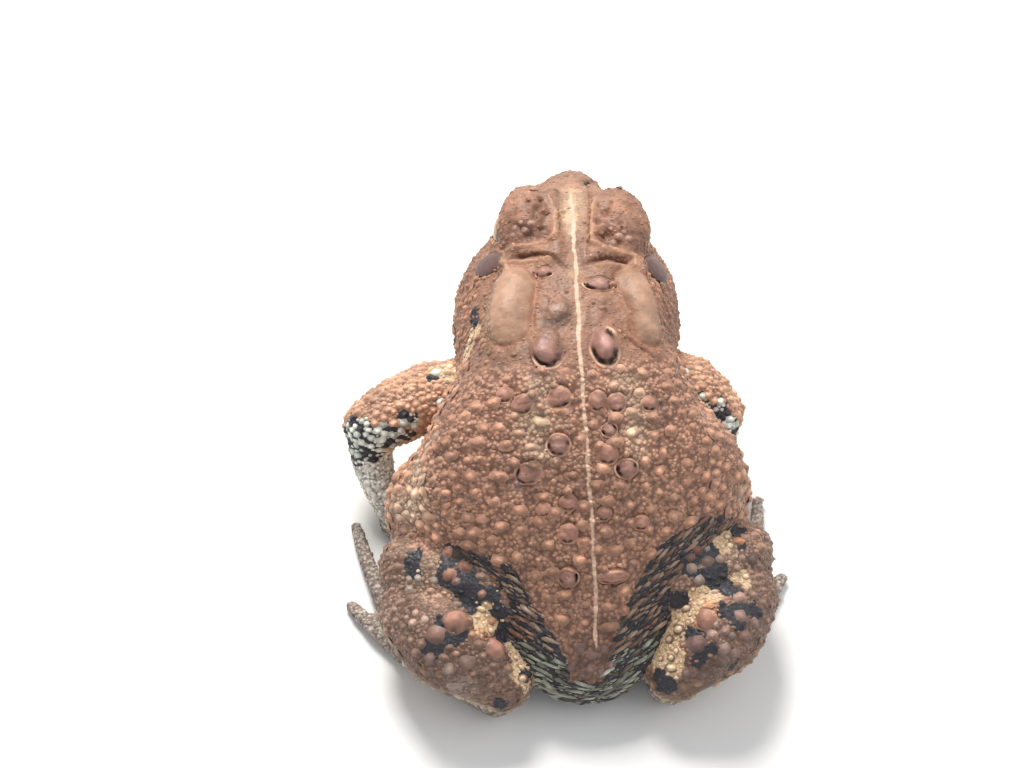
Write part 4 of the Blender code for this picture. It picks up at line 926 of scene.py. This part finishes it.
# Nubs that stand out on the limbs, lids, flank and vent: place, radius and colour
MARKED_NUBS = (
    (20.3, 36.5, 15.8, 1.05, (146, 102, 82)), (21.2, 39.1, 13.9, 0.82, (136, 102, 90)),
    (16.3, 40.1, 14.2, 0.91, (150, 112, 96)), (17.4, 25.4, 17.8, 0.62, (186, 124, 96)),
    (16.4, 25.8, 18.3, 0.62, (90, 62, 52)), (15.6, 28.0, 18.3, 0.73, (162, 100, 70)),
    (17.8, 28.7, 17.6, 0.8, (180, 118, 86)), (16.9, 29.7, 17.5, 0.47, (150, 112, 94)),
    (21.5, 34.2, 15.8, 0.47, (186, 146, 122)), (23.1, 34.1, 14.9, 0.51, (186, 146, 122)),
    (22.5, 32.8, 15.2, 0.4, (186, 146, 122)), (23.7, 33.0, 14.4, 0.33, (180, 142, 120)),
    (18.7, 41.1, 7.7, 0.73, (140, 104, 90)), (20.5, 40.6, 9.2, 0.65, (150, 116, 98)),
    (18.7, 40.3, 13.3, 0.73, (160, 128, 108)), (22.8, 28.9, 14.2, 0.4, (170, 142, 126)),
    (21.8, 28.0, 15.8, 0.44, (176, 156, 140)), (22.9, 27.7, 15.2, 0.4, (170, 146, 130)),
    (19.7, 28.9, 16.6, 0.4, (176, 152, 132)), (13.7, 31.5, 17.0, 0.47, (160, 110, 86)),
    (12.7, 34.1, 14.0, 0.47, (196, 134, 88)), (14.2, 36.3, 15.2, 0.51, (196, 132, 86)),
    (-14.4, 39.6, 14.2, 1.1, (140, 102, 90)), (-20.5, 36.9, 15.8, 0.8, (154, 114, 98)),
    (-20.8, 34.2, 16.0, 0.76, (176, 130, 110)), (-17.9, 40.5, 14.2, 0.72, (158, 124, 106)),
    (-18.2, 38.7, 15.5, 0.56, (150, 112, 94)), (-20.9, 39.0, 14.4, 0.76, (148, 106, 92)),
    (-16.5, 38.9, 15.3, 0.52, (186, 140, 120)), (-16.9, 37.6, 15.9, 0.4, (200, 168, 152)),
    (-19.1, 39.2, 15.1, 0.48, (150, 114, 98)), (-19.3, 40.9, 13.4, 0.68, (140, 104, 92)),
    (-17.8, 41.9, 13.1, 0.56, (136, 104, 92)), (-17.2, 42.4, 11.3, 0.56, (140, 110, 96)),
    (-15.4, 27.7, 18.5, 0.5, (142, 86, 66)), (-14.4, 28.7, 18.2, 0.5, (140, 96, 76)),
    (-16.9, 29.4, 17.9, 0.64, (124, 92, 74)), (-14.7, 30.2, 17.8, 0.6, (158, 132, 112)),
    (-16.9, 27.6, 18.2, 0.36, (176, 166, 158)), (-18.7, 28.9, 17.5, 0.56, (148, 110, 88)),
    (-23.3, 28.2, 15.5, 0.68, (110, 84, 72)), (-15.4, 31.6, 16.9, 0.64, (160, 132, 112)),
    (-22.5, 37.3, 14.5, 0.68, (140, 104, 90)), (-15.3, 42.5, 11.0, 0.6, (130, 102, 90)),
    (-16.5, 42.8, 8.8, 0.6, (130, 102, 90)), (-13.1, 42.2, 11.0, 0.56, (136, 104, 92)),
    (18.3, 12.8, 26.8, 0.5, (196, 150, 120)), (19.6, 13.1, 24.8, 0.52, (200, 164, 134)),
    (20.8, 14.3, 22.7, 0.5, (200, 166, 134)), (22.0, 18.7, 19.2, 0.52, (200, 168, 136)),
    (20.4, 15.8, 22.6, 0.46, (200, 168, 140)), (3.6, -13.2, 37.5, 0.42, (190, 136, 108)),
    (5.8, -13.1, 36.5, 0.4, (186, 132, 104)), (4.6, -12.4, 36.9, 0.45, (176, 122, 96)),
    (5.0, -13.6, 37.0, 0.32, (190, 138, 110)), (6.3, -12.2, 36.2, 0.36, (184, 130, 102)),
    (-7.9, -10.8, 36.8, 0.46, (188, 134, 106)), (-9.4, -10.7, 36.2, 0.4, (184, 132, 104)),
    (-8.7, -11.6, 36.6, 0.32, (188, 136, 110)), (-7.2, -10.0, 36.7, 0.34, (168, 116, 92)),
    (-7.0, -11.9, 37.0, 0.3, (180, 126, 100)), (1.0, 38.6, 12.8, 0.6, (150, 108, 98)),
    (-0.6, 39.4, 12.2, 0.55, (150, 108, 98)), (-2.2, 38.8, 12.6, 0.5, (144, 104, 94)),
    (2.4, 40.6, 10.6, 0.5, (140, 100, 92)), (-0.4, 41.0, 10.8, 0.5, (150, 108, 98)),
    (-3.2, 40.4, 10.8, 0.5, (140, 102, 92)), (0.9, 41.6, 10.0, 0.42, (140, 104, 94)),
    (-1.8, 41.4, 10.4, 0.42, (132, 98, 90)),
)
# White dots on the black of each upper arm: place and radius
LEFT_ARM_DOTS = (
    (29.0, 2.7, 13.6, 0.42), (27.2, 3.2, 15.4, 0.34), (26.6, 3.8, 15.5, 0.4), (27.9, 4.3, 14.0, 0.48),
    (26.8, 4.7, 14.5, 0.34), (26.1, 5.1, 14.2, 0.42), (28.9, 3.9, 13.0, 0.42), (28.1, 4.9, 12.0, 0.42),
    (26.2, 5.7, 13.0, 0.44), (25.0, 5.6, 13.2, 0.42), (24.3, 5.0, 15.0, 0.5), (20.2, 4.7, 16.2, 0.45),
)
RIGHT_ARM_DOTS = (
    (-21.4, 5.1, 16.4, 0.3), (-21.2, 6.0, 15.2, 0.32), (-22.6, 6.2, 14.4, 0.32), (-20.4, 5.1, 17.0, 0.24),
    (-19.4, 5.2, 17.1, 0.36), (-22.2, 5.0, 16.1, 0.24), (-20.2, 5.9, 15.9, 0.24), (-21.8, 6.5, 14.4, 0.3),
)
LEFT_ARM_DOT_TONE = (222, 228, 214)
RIGHT_ARM_DOT_TONE = (220, 208, 200)
WHITE_DOT_TONES = ((206, 210, 198), (186, 192, 180), (220, 222, 210))
LEG_DOT_TONES = ((150, 92, 66), (176, 122, 92), (150, 116, 100), (186, 164, 140))
RUMP_DOT_TONES = ((126, 98, 82), (104, 80, 68), (144, 118, 100), (116, 86, 72), (150, 128, 110))
VENT_DOT_TONES = ((152, 154, 138), (120, 120, 106), (168, 168, 150), (96, 84, 72))
# How much of the hide is kept to lay it out flat, and the size of a nub on that sheet
UNWRAP_SHARE = 0.06
PATCH_SIZE = 0.003
PATCH_REACH = 2.6
# Rings of a nub's form and of a granule's: reach and height, as parts of its radius and height
NUB_RINGS = ((0.36, 0.94), (0.72, 0.7), (1.06, 0.38), (1.45, 0.12), (1.95, -0.08))
GRANULE_RINGS = ((0.55, 0.8), (1.1, 0.26), (1.7, -0.1))
# Shares of a nub's radius: widths, heights and how far it stays off the stripe
MARKED_WIDTH = 0.72
NUB_WIDTH = 0.92
STREAK_WIDTH = 0.4
STREAK_HEIGHT = 0.5
GRANULE_HEIGHT = 0.8
STREAK_LEAN = 0.9
STRIPE_CLEARANCE = 1.7
SKIRT_REACH = 1.2
NUB_CELL = 1.8
DRAPE_REACH = 1.6


def nub_form(spokes, rings):
    """A nub one unit in radius and height whose skirt sinks into the hide."""
    bm = bmesh.new()
    bmesh.ops.create_circle(bm, cap_ends=True, cap_tris=True, segments=spokes, radius=rings[0][0])
    tip = [vertex for vertex in bm.verts if vertex.co.length < 1e-6]
    row = [vertex for vertex in bm.verts if vertex not in tip]
    bmesh.ops.translate(bm, vec=(0, 0, 1.0), verts=tip)
    bmesh.ops.translate(bm, vec=(0, 0, rings[0][1]), verts=row)
    rim = [edge for edge in bm.edges if edge.is_boundary]
    for (last_reach, last_rise), (reach, rise) in zip(rings, rings[1:]):
        row, rim = next_row(bm, rim)
        bmesh.ops.scale(bm, vec=(reach / last_reach, reach / last_reach, 1), verts=row)
        bmesh.ops.translate(bm, vec=(0, 0, rise - last_rise), verts=row)
    bmesh.ops.triangulate(bm, faces=bm.faces)
    bmesh.ops.recalc_face_normals(bm, faces=bm.faces)
    bm.verts.index_update()
    corners = np.array([vertex.co[:] for vertex in bm.verts])
    faces = np.array([[vertex.index for vertex in face.verts] for face in bm.faces])
    bm.free()
    return corners, faces


def unwrap_of(piece):
    """A coarse copy of the hide laid out flat, to find each nub's place on it."""
    coarse = bpy.data.objects.new("unwrap", piece.data.copy())
    bpy.context.scene.collection.objects.link(coarse)
    fewer = coarse.modifiers.new("fewer", "DECIMATE")
    fewer.ratio = UNWRAP_SHARE
    worked_out = coarse.evaluated_get(bpy.context.evaluated_depsgraph_get())
    coarse.data = bpy.data.meshes.new_from_object(worked_out)
    coarse.modifiers.clear()
    bpy.context.view_layer.objects.active = coarse
    bpy.ops.object.mode_set(mode="EDIT")
    bpy.ops.mesh.select_all(action="SELECT")
    bpy.ops.uv.smart_project(angle_limit=1.15, island_margin=0.004)
    bpy.ops.object.mode_set(mode="OBJECT")
    flat = coarse.data.uv_layers.active.data
    middles = [sum((flat[i].uv for i in face.loop_indices), Vector((0, 0))) / len(face.loop_indices)
               for face in coarse.data.polygons]
    corners = [vertex.co for vertex in coarse.data.vertices]
    tree = BVHTree.FromPolygons(corners, [face.vertices for face in coarse.data.polygons])
    bpy.data.objects.remove(coarse, do_unlink=True)
    return tree, middles


def one_of(tones):
    """One of some tones, drawn by lot."""
    return linear(tones[rng.integers(len(tones))])


def softened(tone):
    """A marked nub's colour, a little darker and greyer so that its lit top comes out right."""
    return 0.82 * (0.72 * linear(tone) + 0.28 * np.mean(linear(tone)))


def draped(corners_out, rises, normal):
    """Lets a wide nub follow the bend of the hide below it."""
    up = np.array(normal)
    laid = corners_out.copy()
    for i, (corner, rise) in enumerate(zip(corners_out, rises)):
        start = beside(corner + up * (DRAPE_REACH - rise))
        hit = bare_hide.ray_cast(start, -normal, 2 * DRAPE_REACH * MM)[0]
        if hit is not None:
            laid[i] = np.array(hit) / MM + FORWARD + up * rise
    return laid


def nub_tone(point, spot, large):
    """A nub's ground colour: the hide's own, or a dot on its black."""
    base = ground[point] * (0.74 + 0.44 * rng.random())
    base = base * (1.25 if rng.random() < 0.15 else 1.0)
    if rump[point] > 0.2:
        if rng.random() < 0.2:
            base = linear(BLACK_TONE) * (1.0 + rng.random())
        else:
            base = one_of(VENT_DOT_TONES if spot[2] < 12.0 else RUMP_DOT_TONES)
    elif black[point] > 0.05:
        arm = kinds[point] in ("upper_arm", "forearm")
        if rng.random() < (0.5 if arm else 0.08):
            base = one_of(WHITE_DOT_TONES if arm else LEG_DOT_TONES)
        else:
            base = linear(BLACK_TONE) * (0.9 + 0.4 * rng.random())
    elif cream[point] > 0.15:
        base = linear(CREAM_TONE) * (0.85 + 0.25 * rng.random())
    return base


rng = np.random.default_rng(NUB_SEED)
quads = [face.vertices[:] for face in skin_mesh.polygons]
face_area = np.array([face.area for face in skin_mesh.polygons])
face_point = np.array([quad[0] for quad in quads])
large_places = np.array([np.array(hide_under(row[0], row[1])[0]) / MM + FORWARD for row in LARGE_WARTS])
large_reach = []
for _, _, half_width, half_length, _, pits in LARGE_WARTS:
    edge = LIP_SHARE if len(pits) > SINGLE_PITS else PIT_SHARE
    large_reach.append(edge * min(half_width, half_length) + 0.5 * abs(half_width - half_length))
large_reach = np.array(large_reach)
allowed = np.array([kind in NUB_SIZES for kind in kinds])
allowed &= (normals[:, 2] > LOWEST_NUB_SLOPE) & (eye_near > NUB_CLEAR_OF_EYE) & (ear_share < 0.05)
density = np.where(allowed, 1.0, 0.0)
# How densely nubs lie against the open back: on the glands, on hands and feet, by the stripe,
# mouth, creases and nostrils, on the crests, the crown and the nape, on the rump, on leg black
for place, share in (
        ((gland < 0.1) & (upward > 0.1), 0.02),
        (np.isin(kinds, ("hand", "foot")), 0.3),
        ((stripe < 0.32) | (np.abs(mouth) < 0.5) | (groove < 0.35) | (hole < 0.3), 0.0),
        ((kinds == "head") & (crest < 0.7), 0.1),
        ((kinds == "head") & (normals[:, 2] > CROWN_SLOPE), 0.25),
        ((kinds == "torso") & (np.abs(points[:, 0]) < 11), 0.15 + 0.85 * step_up(points[:, 1], 7.0, 15.0)),
        (rump > 0.2, 2.0),
        ((black > 0.2) & np.isin(kinds, ("thigh", "shank")), 0.25)):
    density *= np.where(place, share, 1.0)
cheeks = (kinds == "head") & (normals[:, 2] < CROWN_SLOPE) & (points[:, 1] > -12)
weight = face_area * density[face_point]
chosen = rng.choice(len(quads), size=NUB_TRIES, p=weight / weight.sum())
grid = defaultdict(list)
taken = []


def settle(spot, radius, point, large, tone=None):
    """Keeps a nub where it has room."""
    gap = NUB_GAPS[kinds[point]][0 if large else 1]
    if kinds[point] == "torso":
        gap += SPINE_GAP[0 if large else 1] * (1 - rising(abs(spot[0]), *SPINE_SIDES))
    if rump[point] > 0.2:
        gap = STREAK_GAP
    cell = tuple((spot // NUB_CELL).astype(int))
    if tone is None:
        for dx in (-1, 0, 1):
            for dy in (-1, 0, 1):
                for dz in (-1, 0, 1):
                    for other, reach in grid[cell[0] + dx, cell[1] + dy, cell[2] + dz]:
                        apart = spot - other
                        if apart @ apart < (radius + reach + gap) ** 2:
                            return
    grid[cell].append((spot, radius))
    taken.append((spot, radius, point, large, tone))


arm_dots = [(*dot, LEFT_ARM_DOT_TONE) for dot in LEFT_ARM_DOTS]
arm_dots += [(*dot, RIGHT_ARM_DOT_TONE) for dot in RIGHT_ARM_DOTS]
for x, y, z, radius, tone in (*MARKED_NUBS, *arm_dots):
    place, _, face, _ = bare_hide.find_nearest(beside((x, y, z)))
    settle(np.array(place) / MM + FORWARD, radius, skin_mesh.polygons[face].vertices[0], True, tone)
tries = []
for face in chosen:
    point = face_point[face]
    low, high, granule_low, granule_high, share = NUB_SIZES[kinds[point]]
    share = CHEEK_NUB_SHARE if cheeks[point] else share
    large = rng.random() < share
    if large:
        size = low + (high - low) * rng.random() ** 1.8
    else:
        size = granule_low + (granule_high - granule_low) * rng.random() ** 1.5
    tries.append((size, face, large, rng.random(2)))
tries.sort(key=lambda row: -row[0])
for radius, face, large, share in tries:
    quad = quads[face]
    top = points[quad[0]] * (1 - share[0]) + points[quad[1]] * share[0]
    low_edge = points[quad[-1]] * (1 - share[0]) + points[quad[-2]] * share[0]
    spot = top * (1 - share[1]) + low_edge * share[1]
    if np.any(np.linalg.norm(large_places - spot, axis=1) < large_reach + radius):
        continue
    if stripe[quad[0]] < STRIPE_CLEARANCE * radius:
        continue
    settle(spot, radius, quad[0], large)


def nub_axes(spot, normal, radius, large, marked, on_rump):
    """A nub's half axes, along, across and up, and its height. Streaks of the rump run to the vent."""
    if on_rump:
        heading = Vector((STREAK_LEAN * (1 if spot[0] < 0 else -1), 1.0, 0))
    else:
        heading = Vector((1, 0.5 * (rng.random() - 0.5), 0))
    along = (heading - normal * heading.dot(normal)).normalized()
    across = along.cross(normal)
    stretch = 2.2 + 2.4 * rng.random() if on_rump else 0.95 + 0.6 * rng.random()
    width = STREAK_WIDTH if on_rump else NUB_WIDTH
    flatness = STREAK_HEIGHT if on_rump else 1.0 if large else GRANULE_HEIGHT
    height = radius * (0.65 + 0.45 * rng.random()) * flatness
    if marked:
        height = radius * (0.36 + 0.14 * rng.random())
        width = MARKED_WIDTH
        stretch = 0.95 + 0.25 * rng.random()
    sideways = np.array(along) * radius * stretch * width
    return np.array([sideways, np.array(across) * radius * width, np.array(normal) * height]), height


forms = {True: nub_form(10, NUB_RINGS), False: nub_form(6, GRANULE_RINGS)}
flat_tree, flat_middles = unwrap_of(skin)
batches = defaultdict(list)
for nub in taken:
    side_name = "left" if nub[0][0] > 0 else "right"
    batches[kinds[nub[2]], "nubs" if nub[3] else "granules", side_name].append(nub)
for kind, sort, side_name in sorted(batches):
    nubs = batches[kind, sort, side_name]
    corners, faces = forms[sort == "nubs"]
    all_points = np.empty((len(nubs), len(corners), 3))
    all_tones = np.empty((len(nubs), len(corners), 3))
    all_flat = np.empty((len(nubs), len(corners), 2))
    reach = np.linalg.norm(corners[:, :2], axis=1)
    for i, (spot, radius, point, large, tone) in enumerate(nubs):
        normal = Vector(normals[point])
        on_rump = rump[point] > 0.2 and tone is None
        axes, height = nub_axes(spot, normal, radius, large, tone is not None, on_rump)
        lumpy = 1 + 0.34 * (rng.random(len(corners)) - 0.5)
        form = corners * lumpy[:, None]
        form[:, 2] = np.sign(form[:, 2]) * np.abs(form[:, 2]) ** (0.8 + 0.6 * rng.random())
        all_points[i] = spot + form @ axes
        if tone is not None:
            all_points[i] = draped(all_points[i], form[:, 2] * height, normal)
        base = nub_tone(point, spot, large) if tone is None else softened(tone)
        # Lighter at the tip, in part the nub's own pale tip and in part painted highlight
        tip = base * (1.04 + 0.4 * rng.random() ** 1.5) * np.array((1.02, 0.99, 0.96))
        # Painted shade: darker at the root, most of all on the side towards the tail, away from the key
        # light
        rearward = (form @ axes)[:, 1] / radius
        root = base * np.clip(0.88 - 0.32 * rearward, 0.42, 1.05)[:, None]
        share = step_up(corners[:, 2], 0.1, 0.95)[:, None]
        all_tones[i] = root * (1 - share) + tip * share
        # Painted shade: the skirt darkens on the side towards the tail
        if tone is None and not on_rump and black[point] < 0.05:
            skirt = reach > SKIRT_REACH
            all_tones[i][skirt] = ground[point] * np.clip(0.92 - 0.14 * rearward[skirt], 0.6, 1.0)[:, None]
        _, _, face, _ = flat_tree.find_nearest(beside(spot))
        all_flat[i] = np.array(flat_middles[face]) + corners[:, :2] * PATCH_SIZE / PATCH_REACH
    triangles = (faces[None] + (np.arange(len(nubs)) * len(corners))[:, None, None]).reshape(-1, 3)
    mesh = bpy.data.meshes.new(f"{sort}_{kind}_{side_name}")
    place = ((all_points.reshape(-1, 3) - FORWARD) * MM)
    mesh.from_pydata(place.tolist(), [], triangles.tolist())
    flat_layer = mesh.uv_layers.new(name="OFBake")
    flat_layer.data.foreach_set("uv", all_flat.reshape(-1, 2)[triangles.ravel()].astype(np.float32).ravel())
    tell(mesh, "ground", np.clip(all_tones.reshape(-1, 3), 0, 1))
    mesh.polygons.foreach_set("use_smooth", np.ones(len(mesh.polygons), bool))
    mesh.materials.append(nub_hide)
    nub_piece = bpy.data.objects.new(mesh.name, mesh)
    bpy.context.scene.collection.objects.link(nub_piece)
    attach(nub_piece, "root")

# Eyes. Glass balls under the heavy lids, with a bronze iris flecked in dark brown and a pupil
# that is a level oval, and a clear wet cornea over both.
EYE_RADIUS = 4.16
GAZE = {"left": (0.85, -0.5, 0.04), "right": (-0.88, -0.44, 0.04)}
PUPIL_HALF = (1.9, 1.05)
IRIS_HALF = (3.0, 2.7)
BRONZE_TONE = (176, 128, 52)
FLECK_TONE = (52, 34, 20)
PUPIL_RING_TONE = (214, 172, 88)
IRIS_EDGE_TONE = (40, 26, 18)
PUPIL_TONE = (6, 5, 5)


def eye_finish():
    """Wet glass over a bronze iris; across and up are millimetres from the middle of the gaze."""
    finish = Finish("eyeball")
    across, up = finish.told("across"), finish.told("up")
    square_across, square_up = finish.times(across, across), finish.times(up, up)
    pupil = finish.sum((square_across, 1 / PUPIL_HALF[0] ** 2), (square_up, 1 / PUPIL_HALF[1] ** 2))
    whole = finish.sum((square_across, 1 / IRIS_HALF[0] ** 2), (square_up, 1 / IRIS_HALF[1] ** 2))
    flecks = finish.noise(0.35, 4.0, 0.7)
    gold = finish.blend(finish.rise(flecks, 0.45, 0.62), BRONZE_TONE, FLECK_TONE)
    gold = finish.blend(finish.rise(pupil, 1.0, 1.45, 0.9, 0.0), gold, PUPIL_RING_TONE)
    gold = finish.blend(finish.rise(whole, 0.8, 1.1), gold, IRIS_EDGE_TONE)
    colour = finish.blend(finish.rise(pupil, 0.93, 1.0, 1.0, 0.0), gold, PUPIL_TONE)
    finish.join(colour, finish.shader.inputs["Base Color"])
    finish.shader.inputs["Roughness"].default_value = 0.08
    finish.shader.inputs["Specular IOR Level"].default_value = 0.3
    finish.shader.inputs["Coat Weight"].default_value = 0.5
    finish.shader.inputs["Coat Roughness"].default_value = 0.02
    return finish.material


eyeball = eye_finish()
for side in ("left", "right"):
    bm = bmesh.new()
    bmesh.ops.create_uvsphere(bm, u_segments=64, v_segments=40, radius=EYE_RADIUS * MM)
    low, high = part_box("eye_" + side)
    bmesh.ops.translate(bm, vec=(low + high) / 2, verts=bm.verts)
    ball = into_object("eyeball_" + side, bm, eyeball, ["eye_" + side])
    off = (own_points(ball.data) - FORWARD) - np.array((low + high) / 2 / MM)
    look = np.array(GAZE[side]) / np.linalg.norm(GAZE[side])
    level = np.cross(look, (0, 0, 1.0))
    level /= np.linalg.norm(level)
    front = off @ look
    tell(ball.data, "across", np.where(front > 0, off @ level, 9.0))
    tell(ball.data, "up", np.where(front > 0, off @ np.cross(level, look), 9.0))

# Eardrums. Each is a thin oval of bare skin let into the cheek behind the eye, smooth and
# grey-brown, inside a narrow pale rim.
EARDRUM_GROWTH = 1.12
EARDRUM_TONES = ((112, 82, 74), (80, 60, 58))


def eardrum_finish():
    """Bare grey-brown skin, softly mottled."""
    finish = Finish("eardrum")
    mottle = finish.noise(0.9, 3.0)
    colour = finish.blend(mottle, *EARDRUM_TONES)
    finish.join(colour, finish.shader.inputs["Base Color"])
    finish.shader.inputs["Roughness"].default_value = 0.45
    finish.relief((mottle, 0.05))
    return finish.material


eardrum = eardrum_finish()
for side in ("left", "right"):
    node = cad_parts["tympanum_" + side]
    bm = bmesh.new()
    bm.from_mesh(node.data)
    bmesh.ops.remove_doubles(bm, verts=bm.verts, dist=WELD * MM)
    low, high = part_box("tympanum_" + side)
    middle = (low + high) / 2
    bmesh.ops.translate(bm, vec=-middle, verts=bm.verts)
    bmesh.ops.scale(bm, vec=(EARDRUM_GROWTH,) * 3, verts=bm.verts)
    bmesh.ops.translate(bm, vec=middle, verts=bm.verts)
    bmesh.ops.subdivide_edges(bm, edges=bm.edges, cuts=2, use_grid_fill=True, smooth=1.0)
    into_object("eardrum_" + side, bm, eardrum, ["tympanum_" + side])

# Stage. A plain pale floor and two soft lights, as in a studio. A long lens looks down on the
# toad from above and behind its left hip, as the photo does.
FLOOR_HALF = 3.0
FLOOR_TONE = (232, 231, 229)
WORLD_LIGHT = 0.62
CAMERA_AZIMUTH = 166.5
CAMERA_ELEVATION = 60.0
CAMERA_ROLL = 8.3
CAMERA_DISTANCE = 450.0
LENS = 111.0
AIM_IN_PICTURE = (549.0, 445.0)
PICTURE = (1024.0, 768.0)

floor_bm = bmesh.new()
bmesh.ops.create_grid(floor_bm, x_segments=1, y_segments=1, size=FLOOR_HALF)
floor_mesh = bpy.data.meshes.new("floor")
floor_bm.to_mesh(floor_mesh)
floor_bm.free()
floor_finish = Finish("floor")
floor_finish.shader.inputs["Base Color"].default_value = (*linear(FLOOR_TONE), 1)
floor_finish.shader.inputs["Roughness"].default_value = 0.7
floor_mesh.materials.append(floor_finish.material)
floor = bpy.data.objects.new("floor", floor_mesh)
bpy.context.scene.collection.objects.link(floor)


def soft_light(name, place, size, watts, tint):
    """A square lamp turned to the toad."""
    lamp = bpy.data.lights.new(name, "AREA")
    lamp.size = size
    lamp.energy = watts
    lamp.color = tint
    made = bpy.data.objects.new(name, lamp)
    made.location = place
    made.rotation_euler = (-Vector(place)).to_track_quat("-Z", "Y").to_euler()
    bpy.context.scene.collection.objects.link(made)


soft_light("key", (0.12, -0.52, 0.68), 0.28, 9.4, (1.0, 0.98, 0.95))
soft_light("fill", (-0.5, 0.1, 0.6), 0.6, 1.5, (0.95, 0.97, 1.0))
world = bpy.data.worlds.new("studio")
world.use_nodes = True
world.node_tree.nodes["Background"].inputs["Color"].default_value = (0.95, 0.97, 1.0, 1)
world.node_tree.nodes["Background"].inputs["Strength"].default_value = WORLD_LIGHT
bpy.context.scene.world = world
bpy.context.scene.view_settings.view_transform = "Standard"

azimuth, elevation, roll = (math.radians(a) for a in (CAMERA_AZIMUTH, CAMERA_ELEVATION, CAMERA_ROLL))
back = Vector((math.sin(azimuth) * math.cos(elevation), -math.cos(azimuth) * math.cos(elevation),
               math.sin(elevation)))
level = (-back).cross(Vector((0, 0, 1))).normalized()
upright = back.cross(level)
right = level * math.cos(roll) + upright * math.sin(roll)
up = upright * math.cos(roll) - level * math.sin(roll)
aim = beside((0.0, 0.0, 0.0))
lens = bpy.data.cameras.new("camera")
lens.lens = LENS
lens.clip_start = 0.01
lens.shift_x = -(AIM_IN_PICTURE[0] - PICTURE[0] / 2) / PICTURE[0]
lens.shift_y = (AIM_IN_PICTURE[1] - PICTURE[1] / 2) / PICTURE[0]
camera = bpy.data.objects.new("camera", lens)
turn = Matrix((right, up, back)).transposed()
camera.matrix_world = Matrix.Translation(aim + back * CAMERA_DISTANCE * MM) @ turn.to_4x4()
bpy.context.scene.collection.objects.link(camera)
bpy.context.scene.camera = camera
